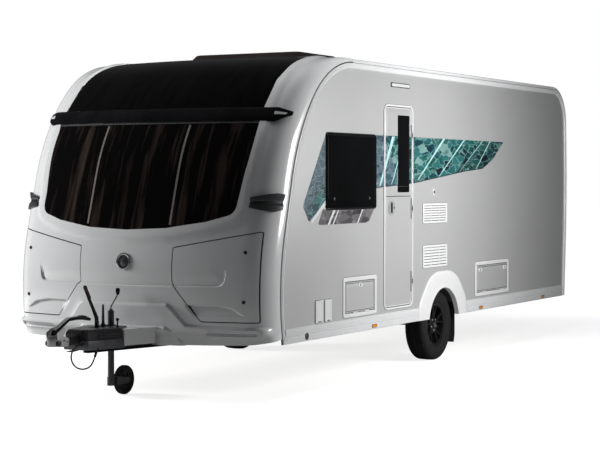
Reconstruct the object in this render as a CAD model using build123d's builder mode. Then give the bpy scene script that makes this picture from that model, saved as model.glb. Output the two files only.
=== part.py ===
from build123d import *
from math import cos, pi, radians, sin, tan
import os

os.makedirs("parts", exist_ok=True)

# All sizes are millimetres. Front is -Y, up is +Z, the door side is +X.
# "Behind" is a distance along +Y from the front edge of the side walls at skirt height.

# ---------------------------------------------------------------- overall
nose_reach = 1290            # front edge of the side walls to the coupling's tip
body_length = 6110           # front edge of the side walls to the back of the rear panel
half_width = 1155            # centre to the outer face of the edge rails
seam_y = (nose_reach - body_length) / 2
roof_z = 2530                # roof edge above the ground
skirt_bottom = 388
floor_under = 500            # underside of the floor sandwich
clearance = 0.3              # running fit between parts that turn or slide
shut_gap = 5                 # gap round doors and hatches

# ---------------------------------------------------------------- body shell
wall_thick = 32
wall_outer = 1140            # centre to the outer face of the side walls
floor_thick = 45
roof_under = 12              # roof panel below the roof edge
moulding_thick = 12
rail_band = 46               # width of the edge rail on the wall
rail_proud = half_width - wall_outer
nose_half = 1148             # half-width of the front and rear mouldings
skirt_outer = 1150
skirt_thick = 14

# Side outline: behind, height, fillet radius.
nose_bend = [(-75, 824, 1700), (224, 1937, 1550), (721, roof_z, 915)]
tail_bend = [(6031, roof_z, 340), (6095, 1489, 10000)]
nose_foot = (2, skirt_bottom)    # behind, height where the edges meet the skirt's bottom
tail_foot = (6022, skirt_bottom)

# Front moulding cross-sections along its edge curve: share of the curve, bulge, corner radius.
nose_stations = [
    (0.00, 335, 235),
    (0.22, 362, 240),
    (0.42, 350, 230),
    (0.58, 300, 190),
    (0.73, 222, 140),
    (0.87, 104, 68),
    (1.00, 34, 24),
]
crown_bulge, crown_corner = 34, 24     # section shared by the roof and the rear moulding
side_run = 6                 # straight run of a moulding's flank before its corner
edge_tuck = 30               # moulding run in behind its edge before it is trimmed there

# ---------------------------------------------------------------- running gear
wheel_back = 2920            # wheel centre behind the seam
tyre_radius = 314.3
tyre_width = 195
tyre_outer_face = 1090
bead_radius = 177.8
arch_gap = 17                # tyre tread to spat
spindle_radius = 17.5
hub_radius = 45
drum_radius = 125
drum_width = 55
swing_reach = 165            # axle tube behind to wheel centre
swing_rise = 58
axle_across = 100            # axle tube, across flats
rail_x = 560                 # chassis rail centre
rail_flange = 46
rail_height = 180
steel = 4


def behind(distance):
    """Y of a point at a distance behind the seam."""
    return seam_y + distance


wheel_y = behind(wheel_back)
wheel_z = tyre_radius
wheel_x = tyre_outer_face - tyre_width / 2
arch_radius = tyre_radius + arch_gap
axle_y = wheel_y - swing_reach
axle_z = wheel_z + swing_rise


def foot(start, end, height):
    """Point at a height on the straight line through two (behind, height) points."""
    share = (height - start[1]) / (end[1] - start[1])
    return (behind(start[0] + share * (end[0] - start[0])), height)


def side_outline(inset=0.0):
    """Side outline of the body above the skirt's bottom, as a face on the YZ plane."""
    bends = nose_bend + tail_bend
    corners = [(behind(back), height) for back, height, _ in bends]
    radii = [radius for _, _, radius in bends]
    with BuildSketch(Plane.YZ) as outline:
        with BuildLine():
            over = FilletPolyline(
                (behind(nose_foot[0]), nose_foot[1]),
                *corners,
                (behind(tail_foot[0]), tail_foot[1]),
                radius=radii,
            )
            Line(over @ 1, over @ 0)
        make_face()
        if inset > 0:
            offset(amount=-inset, kind=Kind.INTERSECTION)
    return outline.sketch


nose_bottom = 352
with BuildLine(Plane.YZ) as nose_edge:
    FilletPolyline(
        foot(nose_foot, nose_bend[0], nose_bottom),
        *[(behind(back), height) for back, height, _ in nose_bend],
        (behind(nose_bend[2][0] + nose_bend[2][2] * tan(radians(25.1))), roof_z),
        radius=[radius for _, _, radius in nose_bend],
    )
tail_start = tail_bend[0][0] - tail_bend[0][2] * tan(radians(43.3))


def tail_path(overrun=0.0):
    """Edge curve of the rear moulding from the roof to below the skirt."""
    with BuildLine(Plane.YZ) as path:
        FilletPolyline(
            (behind(tail_start) - overrun, roof_z),
            *[(behind(back), height) for back, height, _ in tail_bend],
            foot(tail_foot, tail_bend[1], skirt_bottom - edge_tuck - overrun),
            radius=[radius for _, _, radius in tail_bend],
        )
    return path.wire()


roof_front_y = (nose_edge.wire() @ 1).Y
roof_rear_y = behind(tail_start)


def station_plane(share, shift=0.0):
    """Plane square to the front moulding's edge curve, its -y pointing out of the body."""
    point = nose_edge.wire() @ share
    along = nose_edge.wire() % share
    origin = Vector(0, point.Y, point.Z) + along * shift
    return Plane(origin=origin, x_dir=(1, 0, 0), z_dir=along)


def moulding_section(plane, bulge, corner, grow=0.0, back=0.0):
    """Closed section of a moulding: flank, corner arc, front arc, corner arc, flank."""
    half = nose_half + grow
    reach = bulge + grow
    radius = corner + grow
    depth = reach - side_run
    front = (depth**2 - radius**2 + (half - radius) ** 2) / (2 * (depth - radius))
    centre = reach - front
    share = front / (front - radius)
    join_u = (half - radius) * share
    join_v = centre + (side_run - centre) * share
    with BuildSketch(plane) as section:
        with BuildLine():
            right = Line((half, back), (half, -side_run))
            corner_right = TangentArc(right @ 1, (join_u, -join_v), tangent=right % 1)
            face = ThreePointArc(corner_right @ 1, (0, -reach), (-join_u, -join_v))
            corner_left = TangentArc(face @ 1, (-half, -side_run), tangent=face % 1)
            left = Line(corner_left @ 1, (-half, back))
            Line(left @ 1, right @ 0)
        make_face()
    return section.sketch


def nose_solid(grow=0.0, overrun=0.0, back=0.0):
    """Solid inside the front moulding's surface, grown outwards and run past both ends."""
    sections = []
    for share, bulge, corner in nose_stations:
        shift = overrun * (share == 1) - overrun * (share == 0)
        sections.append(moulding_section(station_plane(share, shift), bulge, corner, grow, back))
    with BuildPart() as solid:
        loft(sections)
    return solid.part


def tail_solid(grow=0.0, overrun=0.0, back=0.0):
    """Solid inside the rear moulding's surface: one section swept down its edge curve."""
    start = Plane(origin=(0, behind(tail_start) - overrun, roof_z), x_dir=(1, 0, 0),
                  z_dir=(0, 1, 0))
    with BuildPart() as solid:
        sweep(moulding_section(start, crown_bulge, crown_corner, grow, back),
              path=tail_path(overrun))
    return solid.part


def panel_outline(front, rear, low, high, radius, grow=0.0):
    """Rounded rectangle on the YZ plane from distances behind the seam and heights."""
    with BuildSketch(Plane.YZ) as outline:
        with Locations((behind((front + rear) / 2), (low + high) / 2)):
            RectangleRounded(rear - front + 2 * grow, high - low + 2 * grow, radius + grow)
    return outline.sketch


# ---------------------------------------------------------------- hinges
knuckle_radius = 5
pin_radius = 2.5
hinge_proud = 6              # hinge axis in front of the panel's face
leaf_reach = 14
leaf_deep = 12


def hinge_knuckles(plane, length, deep=leaf_deep):
    """Fixed half of a butt hinge: two end knuckles on leaves, and the pin.

    The plane's z is the hinge axis, x points to the moving panel and y points outwards.
    """
    end = length / 4
    for side in (-1, 1):
        with Locations(plane.offset(side * (length - end) / 2)):
            Cylinder(knuckle_radius, end)
            Box(leaf_reach, deep, end, align=(Align.MAX, Align.MAX, Align.CENTER))
    with Locations(plane):
        Cylinder(pin_radius, length)


def hinge_barrel(plane, length):
    """Moving half of the hinge: a bored barrel on its leaf."""
    barrel = length / 2 - 2 * clearance
    with Locations(plane):
        Cylinder(knuckle_radius, barrel)
        Box(leaf_reach, leaf_deep, barrel, align=(Align.MIN, Align.MAX, Align.CENTER))
        Cylinder(pin_radius + clearance, barrel, mode=Mode.SUBTRACT)


def finish(name, piece):
    """Label a piece and write it."""
    piece.label = name
    export_step(piece, f"parts/{name}.step")


# ---------------------------------------------------------------- openings in the side walls
# Front and rear behind the seam, low and high heights, corner radius.
door_place = (1720, 2256, 542, 2211, 55)
lounge_window = (685, 1557, 1370, 1969, 60)
kitchen_window = (2660, 3460, 1450, 1969, 60)
bed_window = (4380, 5200, 1370, 1969, 60)
front_hatch = (975, 1572, 512, 832, 28)
rear_hatch = (3638, 4466, 519, 841, 28)
cassette_hatch = (5300, 5660, 540, 900, 28)
window_lap = 22              # window frame over the wall round its opening
frame_bar = 34               # width of a hatch frame
frame_proud = 4

near_openings = [
    (door_place, 0),
    (lounge_window, -window_lap),
    (front_hatch, -frame_bar / 2),
    (rear_hatch, -frame_bar / 2),
]
off_openings = [
    (lounge_window, -window_lap),
    (kitchen_window, -window_lap),
    (bed_window, -window_lap),
    (cassette_hatch, -frame_bar / 2),
]
door_trim, door_trim_proud = 16, 4      # frame on the wall round the entrance door
door_hinge_length = 80
door_hinge_heights = (740, 1360, 1980)
door_axis_x = wall_outer + hinge_proud
door_axis_y = behind(door_place[1]) - shut_gap / 2


def door_hinge(height):
    """Hinge plane of the entrance door at a height."""
    return Plane(origin=(door_axis_x, door_axis_y, height), x_dir=(0, -1, 0), z_dir=(0, 0, 1))


def side_band(side, inner, outer):
    """Slab between two distances from the centre plane, on one side."""
    width = outer - inner
    with BuildPart() as band:
        with Locations((side * (inner + outer) / 2, 0, roof_z / 2)):
            Box(width, 2 * body_length, 2 * roof_z)
    return band.part


def slab(side, outline, inner, outer):
    """Outline on the YZ plane extruded between two distances from the centre plane."""
    with BuildPart() as plate:
        extrude(outline, amount=outer, dir=(side, 0, 0))
        if inner > 0:
            extrude(outline, amount=inner, dir=(side, 0, 0), mode=Mode.SUBTRACT)
    return plate.part


def wheel_circle(radius):
    """Circle about the wheel centre on the YZ plane."""
    with BuildSketch(Plane.YZ) as circle:
        with Locations((wheel_y, wheel_z)):
            Circle(radius)
    return circle.sketch


def side_wall(side, openings):
    """Bonded side wall with its window, door and hatch openings and its wheel arch."""
    with BuildPart() as wall:
        add(slab(side, side_outline(), wall_outer - wall_thick, wall_outer))
        split(bisect_by=Plane.XY.offset(floor_under), keep=Keep.TOP)
        for place, grow in openings:
            extrude(panel_outline(*place, grow=grow), amount=side * half_width,
                    mode=Mode.SUBTRACT)
        extrude(wheel_circle(arch_radius + rail_proud), amount=side * half_width,
                mode=Mode.SUBTRACT)
        if side > 0:
            add(slab(side, panel_outline(*door_place, grow=door_trim), wall_outer,
                     wall_outer + door_trim_proud))
            add(slab(side, panel_outline(*door_place), wall_outer, half_width),
                mode=Mode.SUBTRACT)
            for height in door_hinge_heights:
                with Locations(door_hinge(height)):
                    Cylinder(knuckle_radius + clearance, door_hinge_length, mode=Mode.SUBTRACT)
                hinge_knuckles(door_hinge(height), door_hinge_length)
    return wall.part


finish("side_wall_near", side_wall(1, near_openings))
finish("side_wall_off", side_wall(-1, off_openings))

# ---------------------------------------------------------------- roof
roof_run = roof_rear_y - roof_front_y
rooflight_half = 535         # half-width of the rooflight's frame
rooflight_front = 1345       # behind the seam
rooflight_length = 800
rooflight_lip = 24           # frame over the roof round its opening
roof_front = Plane(origin=(0, roof_front_y, roof_z), x_dir=(1, 0, 0), z_dir=(0, 1, 0))
with BuildPart() as roof_panel:
    extrude(moulding_section(roof_front, crown_bulge, crown_corner), amount=roof_run)
    for side in (1, -1):
        add(side_band(side, wall_outer, half_width), mode=Mode.SUBTRACT)
    with BuildSketch(roof_front) as roof_core:
        with Locations((0, roof_under / 2)):
            Rectangle(2 * (wall_outer - wall_thick), roof_under)
    extrude(roof_core.sketch, amount=roof_run)
    with Locations((0, behind(rooflight_front) + rooflight_length / 2, roof_z)):
        Box(2 * (rooflight_half - rooflight_lip), rooflight_length - 2 * rooflight_lip,
            8 * roof_under, mode=Mode.SUBTRACT)
finish("roof_panel", roof_panel.part)

# ---------------------------------------------------------------- front moulding
glass_thick = 5
glass_lap = 18               # glazing over the moulding round its opening
bar_low, bar_high = 2030, 2140
bar_proud = 26
bar_half = 1112
pane_half_low, pane_half_high = 1010, 925
pane_low_middle, pane_low_side = 1225, 1360
pane_high = 2024
roof_pane_half_low, roof_pane_half_high = 915, 880
roof_pane_rear = 1040        # behind the seam
locker_inner, locker_outer = 410, 1080
locker_low, locker_high_inner, locker_high_outer = 560, 1108, 1230
locker_cut = 840             # height where the inner edge turns towards the corner
locker_cut_x = 640
# Corner handles: x of the inner and outer ends, heights, how far they stand out.
handle_inner, handle_outer = 1032, 1140
handle_low, handle_high = 1368, 1500
handle_drop = 26
handle_proud = 30
hitch_notch_half, hitch_notch_high = 300, 492
hitch_notch_top_half = 290


def front_outline(points, radius=0.0, inset=0.0):
    """Front-view outline from (x, height) points, on the XZ plane."""
    with BuildSketch(Plane.XZ) as outline:
        with BuildLine():
            Polyline(*points, close=True)
        make_face()
        if radius:
            fillet(outline.vertices(), radius)
        if inset:
            offset(amount=-inset, kind=Kind.INTERSECTION)
    return outline.sketch


def front_prism(outline):
    """Front-view outline extruded through the front moulding."""
    with BuildPart() as prism:
        extrude(outline, amount=half_width + body_length, dir=(0, -1, 0))
    return prism.part


def nose_skin(inner, outer):
    """Shell of the front moulding between two growths of its surface."""
    shell = nose_solid(grow=outer, back=edge_tuck)
    return shell - nose_solid(grow=inner, overrun=40, back=120)


def window_outline(inset=0.0):
    """Front windows: a curved lower edge and leaning ends."""
    with BuildSketch(Plane.XZ) as outline:
        with BuildLine():
            low = ThreePointArc((-pane_half_low, pane_low_side), (0, pane_low_middle),
                                (pane_half_low, pane_low_side))
            Polyline(low @ 1, (pane_half_high, pane_high), (-pane_half_high, pane_high), low @ 0)
        make_face()
        fillet(outline.vertices(), 60)
        if inset:
            offset(amount=-inset, kind=Kind.INTERSECTION)
    return outline.sketch


roof_pane_corners = [
    (-roof_pane_half_low, bar_high + 2),
    (roof_pane_half_low, bar_high + 2),
    (roof_pane_half_high, roof_z + 4 * crown_bulge),
    (-roof_pane_half_high, roof_z + 4 * crown_bulge),
]


def locker_outline(side, inset=0.0):
    """Locker door: straight inner edge, slanting lower corner, rising top edge."""
    points = [
        (side * locker_inner, locker_high_inner),
        (side * locker_inner, locker_cut),
        (side * locker_cut_x, locker_low),
        (side * locker_outer, locker_low),
        (side * locker_outer, locker_high_outer),
    ]
    return front_outline(points, 30, inset)


def pressed_form(outlines, rise):
    """Raised forms of the front moulding inside front-view outlines, rooted in its shell."""
    skin = nose_skin(-moulding_thick / 2, rise) - body_prism.part
    with BuildPart() as forms:
        for outline in outlines:
            add(skin & front_prism(outline))
    return forms.part


with BuildPart() as body_prism:
    extrude(side_outline(), amount=half_width, both=True)
nose_block = nose_solid(back=edge_tuck)
nose_shell = nose_skin(-moulding_thick, 0) - body_prism.part


def nose_depth(x, height):
    """Y of the front moulding's surface at a front-view point."""
    probe = Edge.make_line((x, behind(-nose_reach), height), (x, behind(roof_pane_rear), height))
    return min(vertex.Y for vertex in (probe & nose_block).vertices())


def locker_hinge(side):
    """Hinge plane on the inner edge of a locker door, leaning with the moulding."""
    low, high = locker_cut + 40, locker_high_inner - 40
    x = side * (locker_inner + shut_gap / 2)
    low_y, middle_y, high_y = [nose_depth(locker_inner, height)
                               for height in (low, (low + high) / 2, high)]
    along = Vector(0, high_y - low_y, high - low).normalized() * -side
    plane = Plane(origin=(x, middle_y, (low + high) / 2), x_dir=(side, 0, 0), z_dir=along)
    return Plane(origin=plane.origin + plane.y_dir * hinge_proud, x_dir=(side, 0, 0),
                 z_dir=along)


def roof_pane_prism(inset=0.0):
    """Prism of the roof pane: its front-view outline, ended behind on the roof."""
    with BuildPart() as prism:
        add(front_prism(front_outline(roof_pane_corners, 0, inset)))
        split(bisect_by=Plane.XZ.offset(-behind(roof_pane_rear) + inset), keep=Keep.TOP)
    return prism.part


# Raised surround of the glazing: sides beside the windows and roof pane, and the sill below.
surround_rise, surround_wide, surround_gap = 12, 62, 3
surround_top = roof_z - 120
with BuildSketch(Plane.XZ) as surround:
    with BuildLine():
        sill = ThreePointArc(
            (-pane_half_low - surround_wide, pane_low_side - surround_wide),
            (0, pane_low_middle - surround_wide),
            (pane_half_low + surround_wide, pane_low_side - surround_wide),
        )
        Polyline(sill @ 1, (roof_pane_half_low + surround_wide, surround_top),
                 (-roof_pane_half_low - surround_wide, surround_top), sill @ 0)
    make_face()
    fillet(surround.vertices().group_by(Axis.Y)[0], 80)
    with BuildLine():
        inner_sill = ThreePointArc((-pane_half_low - surround_gap, pane_low_side - surround_gap),
                                   (0, pane_low_middle - surround_gap),
                                   (pane_half_low + surround_gap, pane_low_side - surround_gap))
        Polyline(inner_sill @ 1, (pane_half_high + surround_gap, bar_low),
                 (roof_pane_half_low + surround_gap, surround_top),
                 (-roof_pane_half_low - surround_gap, surround_top),
                 (-pane_half_high - surround_gap, bar_low), inner_sill @ 0)
    make_face(mode=Mode.SUBTRACT)
    with Locations((0, (bar_low + bar_high) / 2)):
        Rectangle(2 * half_width, bar_high - bar_low + 2 * surround_gap, mode=Mode.SUBTRACT)
    for side in (1, -1):
        with Locations((side * (handle_inner + handle_outer) / 2, (handle_low + handle_high) / 2)):
            Rectangle(handle_outer - handle_inner + 2 * surround_gap,
                      handle_high - handle_low + 2 * surround_gap, mode=Mode.SUBTRACT)

# Bumper: a raised band low on each side of the hitch and a fairing over the drawbar.
bumper_rise, bumper_top, bumper_inner, bumper_outer = 14, 502, 520, 1110
fairing_low, fairing_high = 540, 645
fairing_half_low, fairing_half_high = 520, 385

locker_hinge_length = 150
hitch_notch = front_outline([
    (-hitch_notch_half, nose_bottom - 200),
    (hitch_notch_half, nose_bottom - 200),
    (hitch_notch_top_half, hitch_notch_high),
    (-hitch_notch_top_half, hitch_notch_high),
])
bumper_bands = [
    front_outline([
        (side * bumper_inner, bumper_top - 2 * bumper_rise),
        (side * bumper_outer, bumper_top - 2 * bumper_rise),
        (side * bumper_outer, bumper_top),
        (side * bumper_inner, bumper_top),
    ], bumper_rise / 2)
    for side in (1, -1)
]
fairing = front_outline([
    (-fairing_half_low, fairing_low),
    (-fairing_half_high, fairing_high),
    (fairing_half_high, fairing_high),
    (fairing_half_low, fairing_low),
])
with BuildPart() as front_moulding:
    add(nose_shell)
    add(pressed_form([surround.sketch], surround_rise))
    add(pressed_form([*bumper_bands, fairing], bumper_rise))
    split(bisect_by=Plane.XY.offset(nose_bottom), keep=Keep.TOP)
    add(front_prism(window_outline(glass_lap)), mode=Mode.SUBTRACT)
    add(roof_pane_prism(glass_lap), mode=Mode.SUBTRACT)
    add(front_prism(hitch_notch), mode=Mode.SUBTRACT)
    for side in (1, -1):
        add(front_prism(locker_outline(side)), mode=Mode.SUBTRACT)
        hinge_knuckles(locker_hinge(side), locker_hinge_length)
finish("front_moulding", front_moulding.part)

for side, name in ((1, "near"), (-1, "off")):
    with BuildPart() as locker_door:
        add(nose_shell & front_prism(locker_outline(side, shut_gap)))
        hinge_barrel(locker_hinge(side), locker_hinge_length)
    finish(f"locker_door_{name}", locker_door.part)

# ---------------------------------------------------------------- front glazing
pane_joint = 370             # centre to the joints between the three panes
pane_gap = 8
glass_skin = nose_solid(grow=glass_thick) - nose_block
bar_skin = nose_solid(grow=bar_proud) - nose_block
bar_skin -= body_prism.part
with BuildPart() as front_window:
    add(glass_skin & front_prism(window_outline()))
    for side in (1, -1):
        with Locations((side * pane_joint, seam_y, pane_high)):
            Box(pane_gap, 2 * nose_reach, pane_high, mode=Mode.SUBTRACT)
finish("front_window", front_window.part)

with BuildPart() as roof_pane:
    add(glass_skin & roof_pane_prism())
finish("roof_pane", roof_pane.part)

with BuildPart() as front_bar:
    add(bar_skin & front_prism(front_outline([
        (-bar_half, bar_low), (bar_half, bar_low), (bar_half, bar_high), (-bar_half, bar_high),
    ])))
finish("front_bar", front_bar.part)

handle_skin = nose_solid(grow=handle_proud) - nose_block
handle_skin -= body_prism.part
with BuildPart() as grab_handles:
    for side in (1, -1):
        add(handle_skin & front_prism(front_outline([
            (side * handle_inner, handle_low + handle_drop),
            (side * handle_outer, handle_low),
            (side * handle_outer, handle_high),
            (side * handle_inner, handle_high - handle_drop),
        ], 20)))
finish("grab_handles", grab_handles.part)

# ---------------------------------------------------------------- rear moulding and lamps
lamp_inner, lamp_outer = 900, 1085
lamp_low, lamp_high = 640, 1130
lamp_proud = 11.4
tail_block = tail_solid(back=edge_tuck)
tail_inner = tail_solid(grow=-moulding_thick, overrun=40, back=120)
with BuildPart() as rear_moulding:
    add(tail_block - tail_inner - body_prism.part)
    split(bisect_by=Plane.XY.offset(skirt_bottom), keep=Keep.TOP)
finish("rear_moulding", rear_moulding.part)

lamp_skin = tail_solid(grow=lamp_proud) - tail_block
with BuildPart() as rear_lamps:
    for side in (1, -1):
        lamp_face = front_outline([
            (side * lamp_inner, lamp_low),
            (side * lamp_outer, lamp_low),
            (side * lamp_outer, lamp_high),
            (side * lamp_inner, lamp_high),
        ], 30)
        add(lamp_skin & extrude(lamp_face, amount=half_width + body_length, dir=(0, 1, 0),
                                mode=Mode.PRIVATE))
finish("rear_lamps", rear_lamps.part)

# ---------------------------------------------------------------- edge rails and skirts
spat_front, spat_rear = 2393, 3437     # behind the seam
spat_high = 796
spat_shoulder = 515
spat_top_half = 265
spat_blend, spat_round = 60, 150       # radii of the shoulders and of the top corners
spat_lip, spat_lip_proud = 26, 4       # rolled lip round the arch
skirt_front, skirt_rear = 4, 6006      # behind the seam
with BuildPart() as edge_rails:
    for side in (1, -1):
        add(slab(side, side_outline(), wall_outer, half_width))
        add(slab(side, side_outline(rail_band), 0, half_width), mode=Mode.SUBTRACT)
        with Locations((side * half_width, behind((skirt_front + skirt_rear) / 2), 0)):
            Box(2 * half_width, skirt_rear - skirt_front - 2 * rail_band, 2 * floor_under,
                mode=Mode.SUBTRACT)
finish("edge_rails", edge_rails.part)

with BuildPart() as skirts:
    for side in (1, -1):
        for start, end in ((skirt_front + rail_band, spat_front), (spat_rear, skirt_rear - rail_band)):
            with BuildSketch(Plane.YZ) as strip:
                with Locations((behind((start + end) / 2), (skirt_bottom + floor_under) / 2)):
                    Rectangle(end - start, floor_under - skirt_bottom)
            add(slab(side, strip.sketch, skirt_outer - skirt_thick, skirt_outer))
finish("skirts", skirts.part)

with BuildPart() as wheel_spats:
    with BuildSketch(Plane.YZ) as spat_shape:
        with BuildLine():
            Polyline(
                (behind(spat_front), skirt_bottom),
                (behind(spat_front), spat_shoulder),
                (wheel_y - spat_top_half, spat_high),
                (wheel_y + spat_top_half, spat_high),
                (behind(spat_rear), spat_shoulder),
                (behind(spat_rear), skirt_bottom),
                close=True,
            )
        make_face()
        fillet(spat_shape.vertices().group_by(Axis.Y)[1], spat_blend)
        fillet(spat_shape.vertices().group_by(Axis.Y)[-1], spat_round)
    for side in (1, -1):
        add(slab(side, spat_shape.sketch, wall_outer, half_width - spat_lip_proud))
        add(slab(side, wheel_circle(arch_radius + spat_lip), wall_outer, half_width))
        add(slab(side, wheel_circle(arch_radius), 0, half_width), mode=Mode.SUBTRACT)
        with Locations((side * half_width, wheel_y, skirt_bottom)):
            Box(2 * wall_outer, 2 * spat_front, 2 * skirt_bottom,
                align=(Align.CENTER, Align.CENTER, Align.MAX), mode=Mode.SUBTRACT)
finish("wheel_spats", wheel_spats.part)

# ---------------------------------------------------------------- side windows and hatches
window_proud = 10
sleeve = 4


def side_window(side, place):
    """Acrylic window: outer pane over the wall, on a sleeve through it."""
    with BuildPart() as window:
        add(slab(side, panel_outline(*place), wall_outer, wall_outer + window_proud))
        add(slab(side, panel_outline(*place, grow=-window_lap), wall_outer - wall_thick,
                 wall_outer))
        add(slab(side, panel_outline(*place, grow=-window_lap - sleeve),
                 wall_outer - wall_thick, wall_outer), mode=Mode.SUBTRACT)
    return window.part


finish("lounge_window_near", side_window(1, lounge_window))
with BuildPart() as windows_off:
    for place in (lounge_window, kitchen_window, bed_window):
        add(side_window(-1, place))
finish("windows_off", windows_off.part)

hatch_face = wall_outer + frame_proud
hatch_hinge_length = 160
hatch_thick = 24


def inner_place(place):
    """Outline of the hole inside a hatch frame."""
    front, rear, low, high, radius = place
    return (front + frame_bar, rear - frame_bar, low + frame_bar, high - frame_bar, radius / 2)


def bottom_hinges(place):
    """Two hinge planes along the lower edge of a hatch on the near side."""
    front, rear, low, _, _ = inner_place(place)
    planes = []
    for distance in (front + hatch_hinge_length, rear - hatch_hinge_length):
        origin = (hatch_face + hinge_proud, behind(distance), low + shut_gap / 2)
        planes.append(Plane(origin=origin, x_dir=(0, 0, 1), z_dir=(0, 1, 0)))
    return planes


def front_hinges(place):
    """Two hinge planes along the front edge of a hatch on the off side."""
    front, _, low, high, _ = inner_place(place)
    planes = []
    for height in (low + hatch_hinge_length / 2 + knuckle_radius,
                   high - hatch_hinge_length / 2 - knuckle_radius):
        origin = (-hatch_face - hinge_proud, behind(front) + shut_gap / 2, height)
        planes.append(Plane(origin=origin, x_dir=(0, 1, 0), z_dir=(0, 0, 1)))
    return planes


def hatch_frame(side, place, hinges, length):
    """Moulded frame: a flange on the wall and a lining through it."""
    hole = panel_outline(*inner_place(place))
    with BuildPart() as frame:
        add(slab(side, panel_outline(*place), wall_outer, hatch_face))
        add(slab(side, panel_outline(*place, grow=-frame_bar / 2), wall_outer - wall_thick,
                 wall_outer))
        add(slab(side, hole, 0, half_width), mode=Mode.SUBTRACT)
        for plane in hinges:
            hinge_knuckles(plane, length)
    return frame.part


def hatch_door(side, place, hinges, length):
    """Insulated hatch panel inside its frame."""
    with BuildPart() as door:
        add(slab(side, panel_outline(*inner_place(place), grow=-shut_gap),
                 hatch_face - hatch_thick, hatch_face))
        for plane in hinges:
            hinge_barrel(plane, length)
    return door.part


hatches = [
    ("front_hatch", 1, front_hatch, bottom_hinges(front_hatch)),
    ("rear_hatch", 1, rear_hatch, bottom_hinges(rear_hatch)),
    ("cassette_hatch", -1, cassette_hatch, front_hinges(cassette_hatch)),
]
with BuildPart() as hatch_frames:
    for name, side, place, hinges in hatches:
        add(hatch_frame(side, place, hinges, hatch_hinge_length / 2))
finish("hatch_frames", hatch_frames.part)
for name, side, place, hinges in hatches:
    finish(f"{name}_door", hatch_door(side, place, hinges, hatch_hinge_length / 2))

# ---------------------------------------------------------------- entrance door
door_thick = 28
door_pane = (1972, 2197, 1497, 2143, 32)
pane_lap = 14
pane_proud = 4
escutcheon = (1786, 1927, 1317, 1425, 18)
escutcheon_proud = 11
with BuildPart() as entrance_door:
    add(slab(1, panel_outline(*door_place, grow=-shut_gap), wall_outer - door_thick, wall_outer))
    add(slab(1, panel_outline(*escutcheon), wall_outer, wall_outer + escutcheon_proud))
    extrude(panel_outline(*door_pane, grow=-pane_lap), amount=half_width, mode=Mode.SUBTRACT)
    for height in door_hinge_heights:
        hinge_barrel(door_hinge(height), door_hinge_length)
finish("entrance_door", entrance_door.part)

with BuildPart() as door_window:
    add(slab(1, panel_outline(*door_pane), wall_outer, wall_outer + pane_proud))
finish("door_window", door_window.part)

# ---------------------------------------------------------------- fittings on the near wall
vent_places = [(2471, 2982, 1224, 1398, 14), (2473, 2984, 838, 1033, 14)]
vent_proud = 10
louvre_pitch, louvre_gap = 22, 10
vent_border = 20
with BuildPart() as fridge_vents:
    for place in vent_places:
        front, rear, low, high, _ = place
        add(slab(1, panel_outline(*place), wall_outer, wall_outer + vent_proud))
        rows = int((high - low - 2 * vent_border) / louvre_pitch)
        for row in range(rows):
            height = (low + high) / 2 + (row - (rows - 1) / 2) * louvre_pitch
            with Locations((wall_outer + vent_proud, behind((front + rear) / 2), height)):
                Box(vent_proud, rear - front - 2 * vent_border, louvre_gap, mode=Mode.SUBTRACT)
finish("fridge_vents", fridge_vents.part)

cover_places = [(514, 639, 509, 681, 12), (664, 778, 509, 681, 12)]
cover_proud = 9
with BuildPart() as service_covers:
    for place in cover_places:
        add(slab(1, panel_outline(*place), wall_outer, wall_outer + cover_proud))
finish("service_covers", service_covers.part)

awning_light_place = (1837, 2195, 2372, 2410, 10)
with BuildPart() as awning_light:
    add(slab(1, panel_outline(*awning_light_place), wall_outer, wall_outer + rail_proud - 3))
finish("awning_light", awning_light.part)

# ---------------------------------------------------------------- rooflight
rooflight_rear = rooflight_front + rooflight_length
rooflight_low = roof_z + crown_bulge + 22     # top of its frame
lid_gap = 7
lid_high = 2662
lid_taper_front, lid_taper_side = 60, 34
lid_hinge_back = 8           # hinge axis behind the lid
frame_shelf = 26             # frame behind the lid, under the hinges
lid_middle = behind(rooflight_front + rooflight_length / 2)
lid_low = rooflight_low + lid_gap
lid_hinge_x = 330


def lid_hinge(side):
    """Hinge plane behind the rooflight's lid."""
    origin = (side * lid_hinge_x, behind(rooflight_rear) + lid_hinge_back, lid_low + hinge_proud)
    return Plane(origin=origin, x_dir=(0, -1, 0), z_dir=(-1, 0, 0))


with BuildPart() as roof_volume:
    extrude(moulding_section(roof_front, crown_bulge, crown_corner), amount=roof_run)
with BuildPart() as rooflight_frame:
    with BuildSketch(Plane.XY.offset(roof_z)) as frame_plan:
        with Locations((0, lid_middle + frame_shelf / 2)):
            Rectangle(2 * rooflight_half, rooflight_length + frame_shelf)
        with Locations((0, lid_middle)):
            Rectangle(2 * (rooflight_half - rooflight_lip), rooflight_length - 2 * rooflight_lip,
                      mode=Mode.SUBTRACT)
    extrude(frame_plan.sketch, amount=rooflight_low - roof_z)
    add(roof_volume.part, mode=Mode.SUBTRACT)
    for side in (1, -1):
        hinge_knuckles(lid_hinge(side), hatch_hinge_length, leaf_deep + lid_gap)
finish("rooflight_frame", rooflight_frame.part)

with BuildPart() as rooflight_lid:
    with BuildSketch(Plane.XY.offset(lid_low)) as lid_foot:
        with Locations((0, lid_middle)):
            RectangleRounded(2 * rooflight_half, rooflight_length, 40)
    with BuildSketch(Plane.XY.offset(lid_high)) as lid_top:
        with Locations((0, lid_middle)):
            RectangleRounded(2 * (rooflight_half - lid_taper_side),
                             rooflight_length - 2 * lid_taper_front, 40)
    loft()
    offset(amount=-4, openings=rooflight_lid.faces().sort_by(Axis.Z)[:1])
    for side in (1, -1):
        hinge_barrel(lid_hinge(side), hatch_hinge_length)
finish("rooflight_lid", rooflight_lid.part)

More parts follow.
